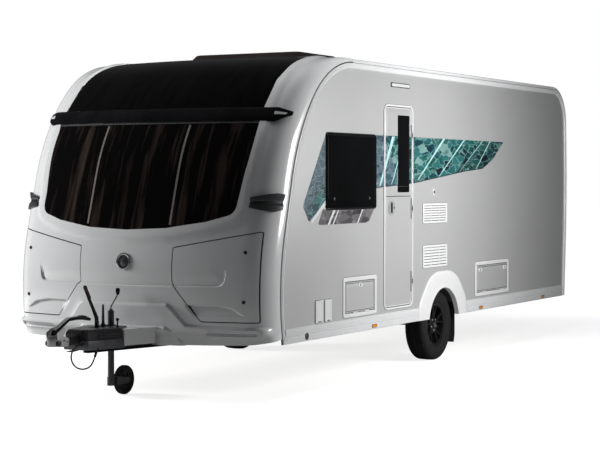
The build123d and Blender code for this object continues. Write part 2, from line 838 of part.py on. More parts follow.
# ---------------------------------------------------------------- floor and front locker
floor_gap = 30               # floor's nose inside the front moulding
floor_rear = 6020            # behind the seam
box_inner_x = 870            # inner side of the wheel boxes
box_thick = 4
box_radius = arch_radius + rail_proud
bulkhead_back = 70           # behind the seam
bulkhead_thick = 20
locker_shelf = 1262          # top of the front locker
with BuildPart() as floor_panel:
    floor_nose = foot(nose_foot, nose_bend[0], floor_under)[0]
    nose_plane = Plane(origin=(0, floor_nose, floor_under), x_dir=(1, 0, 0), z_dir=(0, 0, 1))
    bulge, corner = nose_stations[0][1:]
    extrude(moulding_section(nose_plane, bulge, corner, -moulding_thick - floor_gap, 200),
            amount=floor_thick)
    with Locations((0, (behind(floor_rear) + floor_nose) / 2, floor_under)):
        Box(2 * (wall_outer - wall_thick), behind(floor_rear) - floor_nose, floor_thick,
            align=(Align.CENTER, Align.CENTER, Align.MIN))
    for side in (1, -1):
        add(slab(side, wheel_circle(box_radius + box_thick), box_inner_x, wall_outer),
            mode=Mode.SUBTRACT)
finish("floor_panel", floor_panel.part)

with BuildPart() as wheel_boxes:
    for side in (1, -1):
        add(slab(side, wheel_circle(box_radius + box_thick), box_inner_x,
                 wall_outer - wall_thick))
        add(slab(side, wheel_circle(box_radius), box_inner_x + box_thick, wall_outer),
            mode=Mode.SUBTRACT)
    split(bisect_by=Plane.XY.offset(floor_under), keep=Keep.TOP)
finish("wheel_boxes", wheel_boxes.part)

with BuildPart() as locker_bulkhead:
    with Locations((0, behind(bulkhead_back), floor_under + floor_thick)):
        Box(2 * (wall_outer - wall_thick), bulkhead_thick, locker_shelf - floor_under - floor_thick,
            align=(Align.CENTER, Align.CENTER, Align.MIN))
finish("locker_bulkhead", locker_bulkhead.part)

# The front seat boxes with what they hold, as one plain block.
seat_half, seat_run, seat_high = 950, 600, 380
with BuildPart() as seat_block:
    with Locations((0, behind(bulkhead_back) + bulkhead_thick / 2, floor_under + floor_thick)):
        Box(2 * seat_half, seat_run, seat_high, align=(Align.CENTER, Align.MIN, Align.MIN))
finish("seat_block", seat_block.part)

# ---------------------------------------------------------------- chassis
rail_low = floor_under - rail_height
rail_front, rail_taper, rail_slim, rail_rear = 380, 3800, 4600, 5700   # behind the seam
rail_slim_low = 400
hole_radius = 45
hole_places = [700, 1000, 1300, 2000, 2300, 3400, 3700]
beam_places = [1700, 4000, 5600]
beam_width, beam_height = 50, 80
rail_side = [
    (behind(rail_front), rail_low),
    (behind(rail_taper), rail_low),
    (behind(rail_slim), rail_slim_low),
    (behind(rail_rear), rail_slim_low),
    (behind(rail_rear), floor_under),
    (behind(rail_front), floor_under),
]
axle_notch = axle_across / 2 / cos(radians(30)) + shut_gap
for side, name in ((1, "near"), (-1, "off")):
    with BuildPart() as chassis_rail:
        with BuildSketch(Plane.YZ) as web:
            with BuildLine():
                Polyline(*rail_side, close=True)
            make_face()
        with BuildSketch(Plane.YZ) as hollow:
            with BuildLine():
                Polyline(*rail_side, close=True)
            make_face()
            offset(amount=-steel, kind=Kind.INTERSECTION)
        add(slab(side, web.sketch, rail_x - rail_flange, rail_x))
        add(slab(side, hollow.sketch, rail_x - rail_flange - steel, rail_x - steel),
            mode=Mode.SUBTRACT)
        with BuildSketch(Plane.YZ) as holes:
            with Locations(*[(behind(place), (rail_low + floor_under) / 2)
                             for place in hole_places]):
                Circle(hole_radius)
            with Locations((axle_y, axle_z)):
                Circle(axle_notch)
        extrude(holes.sketch, amount=side * (rail_x + 1), mode=Mode.SUBTRACT)
    finish(f"chassis_rail_{name}", chassis_rail.part)

drawbar_low, drawbar_high = 365, 475
drawbar_flange = 50
drawbar_front = (70, -960)   # centre line: x, behind the seam
drawbar_rear = (500, 620)
drawbar_middle = (drawbar_low + drawbar_high) / 2


def drawbar_x(distance):
    """Centre line of a drawbar member at a distance behind the seam."""
    share = (distance - drawbar_front[1]) / (drawbar_rear[1] - drawbar_front[1])
    return drawbar_front[0] + share * (drawbar_rear[0] - drawbar_front[0])


for side, name in ((1, "near"), (-1, "off")):
    start = Vector(side * drawbar_front[0], behind(drawbar_front[1]), drawbar_middle)
    stop = Vector(side * drawbar_rear[0], behind(drawbar_rear[1]), drawbar_middle)
    along = stop - start
    with BuildPart() as drawbar:
        with BuildSketch(Plane(origin=start, x_dir=(along.Y, -along.X, 0), z_dir=along)):
            Rectangle(drawbar_flange, drawbar_high - drawbar_low)
            with Locations((side * steel, 0)):
                Rectangle(drawbar_flange, drawbar_high - drawbar_low - 2 * steel,
                          mode=Mode.SUBTRACT)
        extrude(amount=along.length)
    finish(f"drawbar_{name}", drawbar.part)

with BuildPart() as cross_members:
    inner = rail_x - rail_flange
    with Locations((0, behind(rail_front + 3 * beam_width), drawbar_high)):
        Box(2 * inner, 2 * beam_width, floor_under - drawbar_high,
            align=(Align.CENTER, Align.CENTER, Align.MIN))
    for place in beam_places:
        with Locations((0, behind(place), floor_under)):
            Box(2 * inner, beam_width, beam_height, align=(Align.CENTER, Align.CENTER, Align.MAX))
        with Locations((0, behind(place) + steel, floor_under - steel)):
            Box(2 * inner, beam_width, beam_height - 2 * steel,
                align=(Align.CENTER, Align.CENTER, Align.MAX), mode=Mode.SUBTRACT)
finish("cross_members", cross_members.part)

# ---------------------------------------------------------------- axle, arms and wheels
beam_half = 850              # half-length of the axle beam
bracket_half, bracket_thick = 110, 8
arm_thick = 26
arm_radius_axle, arm_radius_wheel = 56, 42
drum_inner_x = 902
hub_outer_x = 1046
rim_half = 66
rim_flange_radius = 190
rim_wall = 7
disc_x = 1034
spoke_count = 5
with BuildPart() as axle_beam:
    with BuildSketch(Plane.YZ.offset(-beam_half)) as tube:
        with Locations((axle_y, axle_z)):
            RegularPolygon(axle_across / 2, 6, major_radius=False, rotation=30)
    extrude(tube.sketch, amount=2 * beam_half)
    for side in (1, -1):
        with BuildSketch(Plane.YZ) as bracket:
            with Locations((axle_y, axle_z)):
                Rectangle(2 * bracket_half, axle_across + 2 * bracket_thick)
        add(slab(side, bracket.sketch, rail_x, rail_x + bracket_thick))
finish("axle_beam", axle_beam.part)

with BuildPart() as swing_arms:
    with BuildSketch(Plane.YZ) as arm_shape:
        with Locations((axle_y, axle_z)):
            Circle(arm_radius_axle)
        with Locations((wheel_y, wheel_z)):
            Circle(arm_radius_wheel)
        make_hull()
    for side in (1, -1):
        add(slab(side, arm_shape.sketch, beam_half, beam_half + arm_thick))
        add(slab(side, wheel_circle(spindle_radius), beam_half + arm_thick, hub_outer_x - 20))
finish("swing_arms", swing_arms.part)

# Half-profiles about the wheel's middle: distance outwards along the axle, radius.
tyre_half = tyre_width / 2
tyre_wall = 11
groove_places, groove_wide, groove_deep = (-46, -16, 16, 46), 7, 8
tyre_crown = [
    (rim_half - 8, bead_radius),
    (rim_half - 8, rim_flange_radius + 1),
    (tyre_half, 250),
    (tyre_half - 6, 288),
    (tyre_half - 24, tyre_radius - 4),
    (tyre_half - 42, tyre_radius),
]
tyre_cavity = [
    (rim_half - 8 - tyre_wall, bead_radius),
    (rim_half - 8 - tyre_wall, rim_flange_radius),
    (tyre_half - tyre_wall, 250),
    (tyre_half - 6 - tyre_wall, 285),
    (tyre_half - 42, tyre_radius - groove_deep - tyre_wall),
]
rim_profile = [
    (rim_half, rim_flange_radius),
    (rim_half - 8, rim_flange_radius),
    (rim_half - 8, bead_radius),
]
spoke_pair, spoke_wide_hub, spoke_wide_rim = 13, 20, 14
spoke_dish, spoke_thick = 16, 14


def both_sides(profile):
    """A half-profile joined to its mirror image."""
    return profile + [(-along, radius) for along, radius in reversed(profile)]


def ring_profile(centre, side, points):
    """Face of a wheel profile on the plane through the axle, radius down."""
    with BuildSketch(Plane(origin=centre, x_dir=(side, 0, 0), z_dir=(0, 1, 0))) as face:
        with BuildLine():
            Polyline(*[(along, -radius) for along, radius in points], close=True)
        make_face()
    return face.sketch


for side, name in ((1, "near"), (-1, "off")):
    centre = Vector(side * wheel_x, wheel_y, wheel_z)
    axle = Axis(centre, (1, 0, 0))
    outward = Plane(origin=centre, x_dir=(0, 1, 0), z_dir=(side, 0, 0))
    with BuildPart() as tyre:
        revolve(ring_profile(centre, side, both_sides(tyre_crown)), axis=axle)
        revolve(ring_profile(centre, side, both_sides(tyre_cavity)), axis=axle,
                mode=Mode.SUBTRACT)
        for place in groove_places:
            groove = [
                (place - groove_wide / 2, tyre_radius + 1),
                (place - groove_wide / 2, tyre_radius - groove_deep),
                (place + groove_wide / 2, tyre_radius - groove_deep),
                (place + groove_wide / 2, tyre_radius + 1),
            ]
            revolve(ring_profile(centre, side, groove), axis=axle, mode=Mode.SUBTRACT)
    finish(f"tyre_{name}", tyre.part)

    with BuildPart() as wheel_rim:
        barrel = both_sides(rim_profile)
        barrel += [(-rim_half, bead_radius - rim_wall), (rim_half, bead_radius - rim_wall)]
        revolve(ring_profile(centre, side, barrel), axis=axle)
        # Five twin spokes, dished back towards the hub.
        for turn in range(spoke_count):
            for hand in (1, -1):
                angle = radians(90 + turn * 360 / spoke_count)
                spread = radians(hand * spoke_pair)
                root = Vector(cos(angle + spread / 3), sin(angle + spread / 3), 0) * hub_radius
                root_at = outward.from_local_coords(root + Vector(0, 0, disc_x - wheel_x))
                tip = Vector(cos(angle + spread), sin(angle + spread), 0)
                tip = tip * (bead_radius - rim_wall / 2)
                tip_at = outward.from_local_coords(
                    tip + Vector(0, 0, disc_x - wheel_x + spoke_dish))
                along = tip_at - root_at
                spoke_root = Plane(origin=root_at - along.normalized() * spoke_wide_hub,
                                   x_dir=outward.z_dir, z_dir=along)
                spoke_tip = Plane(origin=tip_at, x_dir=outward.z_dir, z_dir=along)
                with BuildSketch(spoke_root):
                    Rectangle(spoke_thick, spoke_wide_hub)
                with BuildSketch(spoke_tip):
                    Rectangle(spoke_thick, spoke_wide_rim)
                loft()
        with BuildSketch(outward.offset(drum_inner_x - wheel_x)):
            Circle(hub_radius)
        extrude(amount=hub_outer_x - drum_inner_x)
        with BuildSketch(outward.offset(drum_inner_x - wheel_x)):
            Circle(drum_radius)
        extrude(amount=drum_width)
        with BuildSketch(outward.offset(drum_inner_x - wheel_x - 1)):
            Circle(spindle_radius + clearance)
        extrude(amount=hub_outer_x - drum_inner_x - 18, mode=Mode.SUBTRACT)
    finish(f"wheel_rim_{name}", wheel_rim.part)

# ---------------------------------------------------------------- mud flaps
flap_inner, flap_outer = 905, 1085
flap_back, flap_thick, flap_low = 372, 6, 126     # behind the wheel centre
with BuildPart() as mud_flaps:
    for side in (1, -1):
        with Locations((side * (flap_inner + flap_outer) / 2, wheel_y + flap_back, floor_under)):
            Box(flap_outer - flap_inner, flap_thick, floor_under - flap_low,
                align=(Align.CENTER, Align.MIN, Align.MAX))
finish("mud_flaps", mud_flaps.part)

# ---------------------------------------------------------------- hitch
coupling_z = 455             # drawbar shaft and ball centre
ball_radius = 25.2           # socket for a 50 mm ball
socket_back = -1245          # ball centre behind the seam
socket_depth = 22            # straight part of the socket below the ball centre
nose_cap_radius = nose_reach + socket_back
head_half = 36
shaft_radius = 25
shaft_start, shaft_stop = -1175, -960
housing_half = 44
housing_front, housing_rear = -971, -668
housing_low = 385
cover_wall = 3
cover_low, cover_high = 350, 530
cover_plan = [(-977, 110), (-900, 130), (-395, 282)]     # behind the seam, half-width
slot_half, slot_front, slot_rear = 30, -800, -600
gland_radius, gland_length = 9, 18
jockey_back = -547           # jockey tube behind the seam

with BuildPart() as overrun_housing:
    with Locations((0, behind((housing_front + housing_rear) / 2), housing_low)):
        Box(2 * housing_half, housing_rear - housing_front, cover_high - cover_wall - housing_low,
            align=(Align.CENTER, Align.CENTER, Align.MIN))
    fillet(overrun_housing.edges().filter_by(Axis.Z), 14)
    with Locations(Plane(origin=(0, behind(shaft_start), coupling_z), x_dir=(1, 0, 0),
                         z_dir=(0, 1, 0))):
        Cylinder(shaft_radius, shaft_stop - shaft_start,
                 align=(Align.CENTER, Align.CENTER, Align.MIN))
finish("overrun_housing", overrun_housing.part)

head_side = [
    (-1110, 418), (-1110, 492), (-1180, 506), (-1245, 512), (-1245, 433), (-1195, 433),
    (-1180, 418),
]
with BuildPart() as coupling_head:
    with BuildSketch(Plane.YZ.offset(-head_half)) as head_shape:
        with BuildLine():
            Polyline(*[(behind(back), height) for back, height in head_side], close=True)
        make_face()
    extrude(head_shape.sketch, amount=2 * head_half)
    with Locations((0, behind(socket_back), coupling_z - socket_depth)):
        Cylinder(nose_cap_radius, 79, align=(Align.CENTER, Align.CENTER, Align.MIN))
    with Locations(Plane(origin=(0, behind(socket_back), coupling_z), x_dir=(0, 1, 0),
                         z_dir=(1, 0, 0))):
        Cylinder(22, 116)
    with Locations(Plane(origin=(0, behind(shaft_start) - 1, coupling_z), x_dir=(1, 0, 0),
                         z_dir=(0, 1, 0))):
        Cylinder(shaft_radius, nose_reach, align=(Align.CENTER, Align.CENTER, Align.MIN),
                 mode=Mode.SUBTRACT)
    with Locations((0, behind(socket_back), coupling_z - socket_depth)):
        Cylinder(ball_radius, socket_depth, align=(Align.CENTER, Align.CENTER, Align.MIN),
                 mode=Mode.SUBTRACT)
    with Locations((0, behind(socket_back), coupling_z)):
        Sphere(ball_radius, mode=Mode.SUBTRACT)
finish("coupling_head", coupling_head.part)

lever_half = 16
lever_side = [
    (-1262, 506), (-1240, 548), (-1080, 622), (-900, 628), (-815, 604),
    (-820, 584), (-905, 604), (-1070, 598), (-1190, 536), (-1190, 506),
]
with BuildPart() as coupling_lever:
    with BuildSketch(Plane.YZ.offset(-lever_half)) as lever_shape:
        with BuildLine():
            Polyline(*[(behind(back), height) for back, height in lever_side], close=True)
        make_face()
        fillet(lever_shape.vertices(), 6)
    extrude(lever_shape.sketch, amount=2 * lever_half)
    add(coupling_head.part, mode=Mode.SUBTRACT)
finish("coupling_lever", coupling_lever.part)

handbrake_half = 8
handbrake_side = [
    (-742, cover_high - cover_wall), (-742, 600), (-830, 745), (-878, 820), (-852, 834),
    (-806, 760), (-712, 612), (-700, cover_high - cover_wall),
]
grip_radius, grip_length = 15, 110
with BuildPart() as handbrake_lever:
    with BuildSketch(Plane.YZ.offset(-handbrake_half)) as handbrake_shape:
        with BuildLine():
            Polyline(*[(behind(back), height) for back, height in handbrake_side], close=True)
        make_face()
    extrude(handbrake_shape.sketch, amount=2 * handbrake_half)
    with Locations(Plane(origin=(0, behind(-842), 790), x_dir=(1, 0, 0), z_dir=(0, -48, 74))):
        Cylinder(grip_radius, grip_length)
finish("handbrake_lever", handbrake_lever.part)

clamp_radius, clamp_low, clamp_high = 36, 418, 520
tube_radius, tube_wall = 24, 3
tube_low, tube_high = 152, 640
clamp_plate_half, clamp_plate_thick = 45, 10
clamp_lever_back, clamp_lever_high = -646, 690
with BuildPart() as jockey_clamp:
    with Locations((0, behind(jockey_back), clamp_low)):
        Cylinder(clamp_radius, clamp_high - clamp_low,
                 align=(Align.CENTER, Align.CENTER, Align.MIN))
    with Locations((0, behind(jockey_back), drawbar_high)):
        Box(2 * drawbar_x(jockey_back), 2 * clamp_plate_half, clamp_plate_thick,
            align=(Align.CENTER, Align.CENTER, Align.MIN))
    with Locations((0, behind((clamp_lever_back + jockey_back) / 2), clamp_high - 20)):
        Box(16, jockey_back - clamp_lever_back, 16)
    with Locations((0, behind(clamp_lever_back), clamp_high - 28)):
        Cone(11, 7, clamp_lever_high - clamp_high + 28,
             align=(Align.CENTER, Align.CENTER, Align.MIN))
    with Locations((0, behind(jockey_back), drawbar_middle)):
        Cylinder(tube_radius + clearance, 4 * clamp_high, mode=Mode.SUBTRACT)
finish("jockey_clamp", jockey_clamp.part)

with BuildPart() as drawbar_cover:
    outline = [(half, behind(back)) for back, half in cover_plan]
    outline += [(-half, behind(back)) for back, half in reversed(cover_plan)]
    with BuildSketch(Plane.XY.offset(cover_low)) as cover_shape:
        with BuildLine():
            Polyline(*outline, close=True)
        make_face()
    extrude(cover_shape.sketch, amount=cover_high - cover_low)
    with BuildSketch(Plane.XY.offset(cover_low)) as cover_inside:
        with BuildLine():
            Polyline(*outline, close=True)
        make_face()
        offset(amount=-cover_wall, kind=Kind.INTERSECTION)
        with Locations((0, behind(cover_plan[-1][0]))):
            Rectangle(2 * cover_plan[-1][1] - 6 * cover_wall, 4 * cover_wall)
    extrude(cover_inside.sketch, amount=cover_high - cover_low - cover_wall, mode=Mode.SUBTRACT)
    with Locations((0, behind(jockey_back), cover_high)):
        Cylinder(tube_radius + 2 * shut_gap, 4 * cover_wall, mode=Mode.SUBTRACT)
    with Locations((0, behind((slot_front + slot_rear) / 2), cover_high)):
        Box(2 * slot_half, slot_rear - slot_front, 4 * cover_wall, mode=Mode.SUBTRACT)
    with Locations((0, behind(cover_plan[0][0]), coupling_z)):
        Box(2 * shaft_radius + 2 * shut_gap, 8 * cover_wall, 2 * shaft_radius + 2 * shut_gap,
            mode=Mode.SUBTRACT)

# Cable loop under the hitch: x, behind the seam, height.
cable_radius = 4.5
cable_route = [
    (57, -1000, 425),
    (59, -1046, 420),
    (65, -1090, 392),
    (74, -1108, 342),
    (84, -1080, 293),
    (95, -1028, 272),
    (105, -974, 274),
    (114, -932, 298),
    (119, -912, 340),
]
route = [Vector(x, behind(back), height) for x, back, height in cable_route]
cable_radii = []
for before, here, after in zip(route, route[1:], route[2:]):
    turn = radians((here - before).get_angle(after - here))
    run = min((here - before).length, (after - here).length)
    cable_radii.append(0.45 * run / tan(turn / 2))
print("cable radii", [round(radius) for radius in cable_radii])
with BuildLine() as cable_line:
    FilletPolyline(*route, radius=cable_radii)
with BuildPart() as hitch_cable:
    with BuildSketch(Plane(origin=route[0], z_dir=route[1] - route[0])) as cable_section:
        Circle(cable_radius)
    sweep(cable_section.sketch, path=cable_line.wire())
print("cable volume share", hitch_cable.part.volume / (pi * cable_radius**2 * cable_line.wire().length))
finish("hitch_cable", hitch_cable.part)

with BuildPart() as cover_with_glands:
    add(drawbar_cover.part)
    for point, toward in ((route[0], route[0] - route[1]), (route[-1], route[-1] - route[-2])):
        with Locations(Plane(origin=point, z_dir=toward)):
            Cylinder(gland_radius, 2 * gland_length, align=(Align.CENTER, Align.CENTER, Align.MIN))
finish("drawbar_cover", cover_with_glands.part)

# ---------------------------------------------------------------- jockey wheel
jockey_radius, jockey_half = 110, 28
jockey_trail = 165
jockey_pin = 8
fork_plate = 6
fork_gap = 6
fork_low, fork_high = 84, 148
stem_radius = tube_radius - tube_wall - clearance
stem_high = 280              # clears the clamp with the tube wound up
with BuildPart() as jockey_tube:
    with Locations((0, behind(jockey_back), tube_low)):
        Cylinder(tube_radius, tube_high - tube_low, align=(Align.CENTER, Align.CENTER, Align.MIN))
        Cylinder(tube_radius - tube_wall, tube_high - tube_low - 30,
                 align=(Align.CENTER, Align.CENTER, Align.MIN), mode=Mode.SUBTRACT)
    crank = [(0, behind(jockey_back), tube_high - 4), (0, behind(jockey_back), tube_high + 22),
             (0, behind(-470), 740), (0, behind(-458), 762)]
    with BuildLine() as crank_line:
        FilletPolyline(*crank, radius=[12, 12])
    with BuildSketch(Plane(origin=crank[0], z_dir=(0, 0, 1))):
        Circle(6)
    sweep(path=crank_line.wire())
    with Locations((0, behind(-458), 775)):
        Cylinder(17, 52)
finish("jockey_tube", jockey_tube.part)

axle_pin_y = behind(jockey_back + jockey_trail)
with BuildPart() as jockey_fork:
    with Locations((0, behind(jockey_back), fork_low)):
        Cylinder(tube_radius + 5, fork_high - fork_low, align=(Align.CENTER, Align.CENTER, Align.MIN))
        Cylinder(stem_radius, stem_high - fork_low, align=(Align.CENTER, Align.CENTER, Align.MIN))
    with Locations((0, behind(jockey_back) + tube_radius + 6, (fork_low + fork_high) / 2)):
        Box(2 * (jockey_half + fork_gap + fork_plate), 14, fork_high - fork_low)
    for side in (1, -1):
        with BuildSketch(Plane.YZ.offset(side * (jockey_half + fork_gap))) as arm:
            with Locations((behind(jockey_back) + tube_radius + 10, (fork_low + fork_high) / 2)):
                Rectangle(14, fork_high - fork_low)
            with Locations((axle_pin_y, jockey_radius)):
                Circle(20)
            make_hull()
        extrude(arm.sketch, amount=side * fork_plate)
    with Locations(Plane(origin=(0, axle_pin_y, jockey_radius), x_dir=(0, 1, 0), z_dir=(1, 0, 0))):
        Cylinder(jockey_pin, 2 * (jockey_half + fork_gap + fork_plate) + 8)
finish("jockey_fork", jockey_fork.part)

with BuildPart() as jockey_wheel:
    with BuildSketch(Plane.XY) as wheel_half:
        with BuildLine():
            Polyline(
                (jockey_pin + clearance, -jockey_half - fork_gap + 1),
                (24, -jockey_half - fork_gap + 1),
                (24, -14),
                (62, -14),
                (62, -jockey_half + 4),
                (86, -jockey_half),
                (jockey_radius - 8, -jockey_half + 5),
                (jockey_radius, -jockey_half + 15),
                (jockey_radius, jockey_half - 15),
                (jockey_radius - 8, jockey_half - 5),
                (86, jockey_half),
                (62, jockey_half - 4),
                (62, 14),
                (24, 14),
                (24, jockey_half + fork_gap - 1),
                (jockey_pin + clearance, jockey_half + fork_gap - 1),
                close=True,
            )
        make_face()
    revolve(axis=Axis.Y)
wheel_turn = Location((0, axle_pin_y, jockey_radius), (0, 0, 90))
finish("jockey_wheel", wheel_turn * jockey_wheel.part)

# ---------------------------------------------------------------- corner steadies
# Hinge behind the seam and the way the folded leg points along Y.
steady_places = [("front", 300, 1), ("rear", 5760, -1)]
steady_x = 800
steady_pin_z = 458
steady_pin = 6
steady_length = 480
leg_half, leg_thick = 25, 26
lug_thick, lug_gap, lug_half = 6, 5, 26
with BuildPart() as steady_brackets:
    for _, place, _ in steady_places:
        for x in (steady_x, -steady_x):
            for lug in (1, -1):
                with Locations((x + lug * (leg_half + lug_gap + lug_thick / 2), behind(place),
                                floor_under)):
                    Box(lug_thick, 2 * lug_half, floor_under - steady_pin_z + 14,
                        align=(Align.CENTER, Align.CENTER, Align.MAX))
            with Locations(Plane(origin=(x, behind(place), steady_pin_z), z_dir=(1, 0, 0))):
                Cylinder(steady_pin, 2 * (leg_half + lug_gap + lug_thick))
finish("steady_brackets", steady_brackets.part)

for end, place, way in steady_places:
    for side, name in ((1, "near"), (-1, "off")):
        x = side * steady_x
        with BuildPart() as steady:
            with BuildSketch(Plane.YZ.offset(x - leg_half)) as leg:
                with Locations((behind(place), steady_pin_z)):
                    Circle(leg_thick / 2)
                with Locations((behind(place) + way * steady_length, steady_pin_z + 2)):
                    Circle(leg_thick / 2 - 4)
                make_hull()
                with Locations((behind(place), steady_pin_z)):
                    Circle(steady_pin + clearance, mode=Mode.SUBTRACT)
            extrude(leg.sketch, amount=2 * leg_half)
            with Locations((x, behind(place) + way * (steady_length - 12), steady_pin_z + 2)):
                Box(2 * leg_half + 44, 60, 12)
        finish(f"steady_{end}_{name}", steady.part)
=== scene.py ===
import math

import bmesh
import bpy
import numpy as np
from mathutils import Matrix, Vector
from mathutils.geometry import delaunay_2d_cdt


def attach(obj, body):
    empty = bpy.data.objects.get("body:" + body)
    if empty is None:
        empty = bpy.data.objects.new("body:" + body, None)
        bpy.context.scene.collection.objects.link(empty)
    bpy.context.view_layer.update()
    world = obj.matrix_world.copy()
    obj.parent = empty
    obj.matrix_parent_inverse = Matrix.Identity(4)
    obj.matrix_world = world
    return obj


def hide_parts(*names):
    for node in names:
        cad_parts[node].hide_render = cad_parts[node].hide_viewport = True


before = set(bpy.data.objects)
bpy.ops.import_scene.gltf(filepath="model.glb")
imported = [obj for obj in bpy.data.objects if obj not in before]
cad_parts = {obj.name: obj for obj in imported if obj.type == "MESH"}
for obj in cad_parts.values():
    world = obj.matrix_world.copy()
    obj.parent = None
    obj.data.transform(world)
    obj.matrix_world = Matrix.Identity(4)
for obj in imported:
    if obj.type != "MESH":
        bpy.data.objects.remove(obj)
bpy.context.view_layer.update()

# ------------------------------------------------------------------ chassis
# Pressed-steel drawbar members, rails, cross beams and axle tube with swing arms, coloured
# near-black as painted shade of the underside, and corner steadies left in the dull grey of
# hot-dip zinc with its faint crystals.


def feed(tree, node, inputs):
    """Set a node's inputs to values, or join them to other nodes' outputs."""
    for label, value in inputs.items():
        if isinstance(value, bpy.types.NodeSocket):
            tree.links.new(value, node.inputs[label])
        else:
            node.inputs[label].default_value = value


def add_node(tree, kind, inputs=(), **settings):
    """Outputs of a new shader node with its inputs and settings."""
    node = tree.nodes.new("ShaderNode" + kind)
    for label, value in settings.items():
        setattr(node, label, value)
    feed(tree, node, dict(inputs))
    return node.outputs


def add_ramp(tree, stops, share, interpolation="LINEAR"):
    """Colour that runs through (position, colour) stops as a share rises."""
    node = tree.nodes.new("ShaderNodeValToRGB")
    ramp = node.color_ramp
    ramp.interpolation = interpolation
    while len(ramp.elements) < len(stops):
        ramp.elements.new(0.5)
    for element, (position, colour) in zip(ramp.elements, stops):
        element.position = position
        element.color = (*colour, 1)
    feed(tree, node, {"Fac": share})
    return node.outputs["Color"]


def new_material(name):
    """Material with its node tree, its main shader and its place on the object."""
    material = bpy.data.materials.new(name)
    material.use_nodes = True
    tree = material.node_tree
    return material, tree, tree.nodes["Principled BSDF"], add_node(tree, "TexCoord")["Object"]


def surface(name, colour, rough, scale=30.0, mottle=0.04, bump=0.1, metal=0.0, coat=0.0,
        stretch=(1.0, 1.0, 1.0), pattern="NOISE", rough_range=0.08, grain=None, shine=0.5):
    """Material with uneven colour, uneven gloss and a fine surface relief."""
    material, tree, shader, place = new_material(name)
    place = add_node(tree, "Mapping", {"Vector": place, "Scale": stretch})["Vector"]
    blotch = {"Vector": place, "Scale": scale}
    if pattern == "CRYSTAL":
        value = add_node(tree, "TexVoronoi", blotch)["Distance"]
    else:
        value = add_node(tree, "TexNoise", {**blotch, "Detail": 5.0})["Fac"]
    gloss = add_node(tree, "MapRange", {"Value": value, "To Min": max(0.02, rough - rough_range),
        "To Max": min(1.0, rough + rough_range)})
    fine = add_node(tree, "TexNoise", {"Vector": place, "Scale": grain or scale * 9,
        "Detail": 3.0})
    relief = add_node(tree, "Bump", {"Height": fine["Fac"], "Strength": bump, "Distance": 0.002})
    feed(tree, shader,
        {"Base Color": add_ramp(tree, [(0.3, [c * (1 - mottle) for c in colour]),
        (0.7, [min(1, c * (1 + mottle)) for c in colour])], value), "Roughness": gloss["Result"],
        "Normal": relief["Normal"], "Metallic": metal, "Specular IOR Level": shine,
        "Coat Weight": coat, "Coat Roughness": 0.05})
    return material


def dress(material, *names):
    """Give CAD nodes a material."""
    for name in names:
        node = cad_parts[name]
        node.data.materials.clear()
        node.data.materials.append(material)


galvanised = surface("galvanised_steel", (0.42, 0.44, 0.45), 0.42, scale=45, mottle=0.16,
    metal=0.85, pattern="CRYSTAL", bump=0.06)
# Near-black steel for the chassis and brake drums is painted shade of the underside.
painted_shade_steel = surface("underside_painted_shade_steel", (0.05, 0.052, 0.055), 0.5, scale=25, mottle=0.3,
    metal=0.3, bump=0.2)
dress(galvanised, "steady_brackets", "steady_front_near", "steady_front_off", "steady_rear_near",
    "steady_rear_off")
dress(painted_shade_steel, "drawbar_near", "drawbar_off", "chassis_rail_near", "chassis_rail_off",
    "cross_members", "axle_beam", "swing_arms")

# ------------------------------------------------------------------ floor and inside
# Plywood-faced floor sandwich, locker bulkhead and seat boxes, and moulded wheel boxes whose
# near-black is partly their plastic and partly painted shade inside the arches.
plywood = surface("plywood_face", (0.5, 0.36, 0.22), 0.6, scale=6, mottle=0.18, stretch=(1, 12, 1),
    bump=0.15)
wheel_box_plastic = surface("wheel_box_plastic", (0.05, 0.05, 0.052), 0.6, mottle=0.2, bump=0.3)
dress(plywood, "floor_panel", "locker_bulkhead", "seat_block")
dress(wheel_box_plastic, "wheel_boxes")

# ------------------------------------------------------------------ side walls and roof
# Bonded sandwich walls with a silver-grey painted skin, and a one-piece white roof skin.
# The paint is smooth, with the faint long waves of a bonded sheet.
seam_y = -2.41
wall_x = 1.14
wall_foot = 0.388
roof_z = 2.53
silver = surface("wall_silver_paint", (0.53, 0.535, 0.53), 0.38, scale=1.6, mottle=0.012,
    bump=0.015, coat=0.25, rough_range=0.04, grain=260, metal=0.25)
gelcoat = surface("white_gelcoat", (0.79, 0.795, 0.8), 0.2, scale=3.0, mottle=0.012, bump=0.012,
    coat=0.5, rough_range=0.04, grain=220)
dress(silver, "side_wall_near", "side_wall_off")
dress(gelcoat, "roof_panel", "rear_moulding")

# ------------------------------------------------------------------ edge rails
# White extruded aluminium rails over the joint of wall and mouldings, with a bedding bead
# of dark sealant along their outer edge. They carry the awning groove.
sides = ((1, "near"), (-1, "off"))


def behind(distance):
    """Y of a point at a distance behind the front edge of the side walls."""
    return seam_y + distance


def rounded_path(points, radii, step=0.02):
    """Polyline through points with its corners turned by arcs of the given radii."""
    path = [Vector(points[0])]
    for before, here, after, radius in zip(points, points[1:], points[2:], radii):
        before, here, after = Vector(before), Vector(here), Vector(after)
        inward, outward = (before - here).normalized(), (after - here).normalized()
        angle = inward.angle(outward)
        cut = radius / math.tan(angle / 2)
        centre = here + (inward + outward).normalized() * radius / math.sin(angle / 2)
        start, end = here + inward * cut, here + outward * cut
        sweep = (start - centre).angle(end - centre)
        count = max(2, int(sweep * radius / step))
        for index in range(count + 1):
            spread = index / count
            weight_start = math.sin((1 - spread) * sweep) / math.sin(sweep)
            weight_end = math.sin(spread * sweep) / math.sin(sweep)
            path.append(centre + (start - centre) * weight_start + (end - centre) * weight_end)
    path.append(Vector(points[-1]))
    return path


def add_object(name, data, body="caravan"):
    """Object for a mesh or a curve, riding on a body."""
    made = bpy.data.objects.new(name, data)
    bpy.context.scene.collection.objects.link(made)
    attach(made, body)
    return made


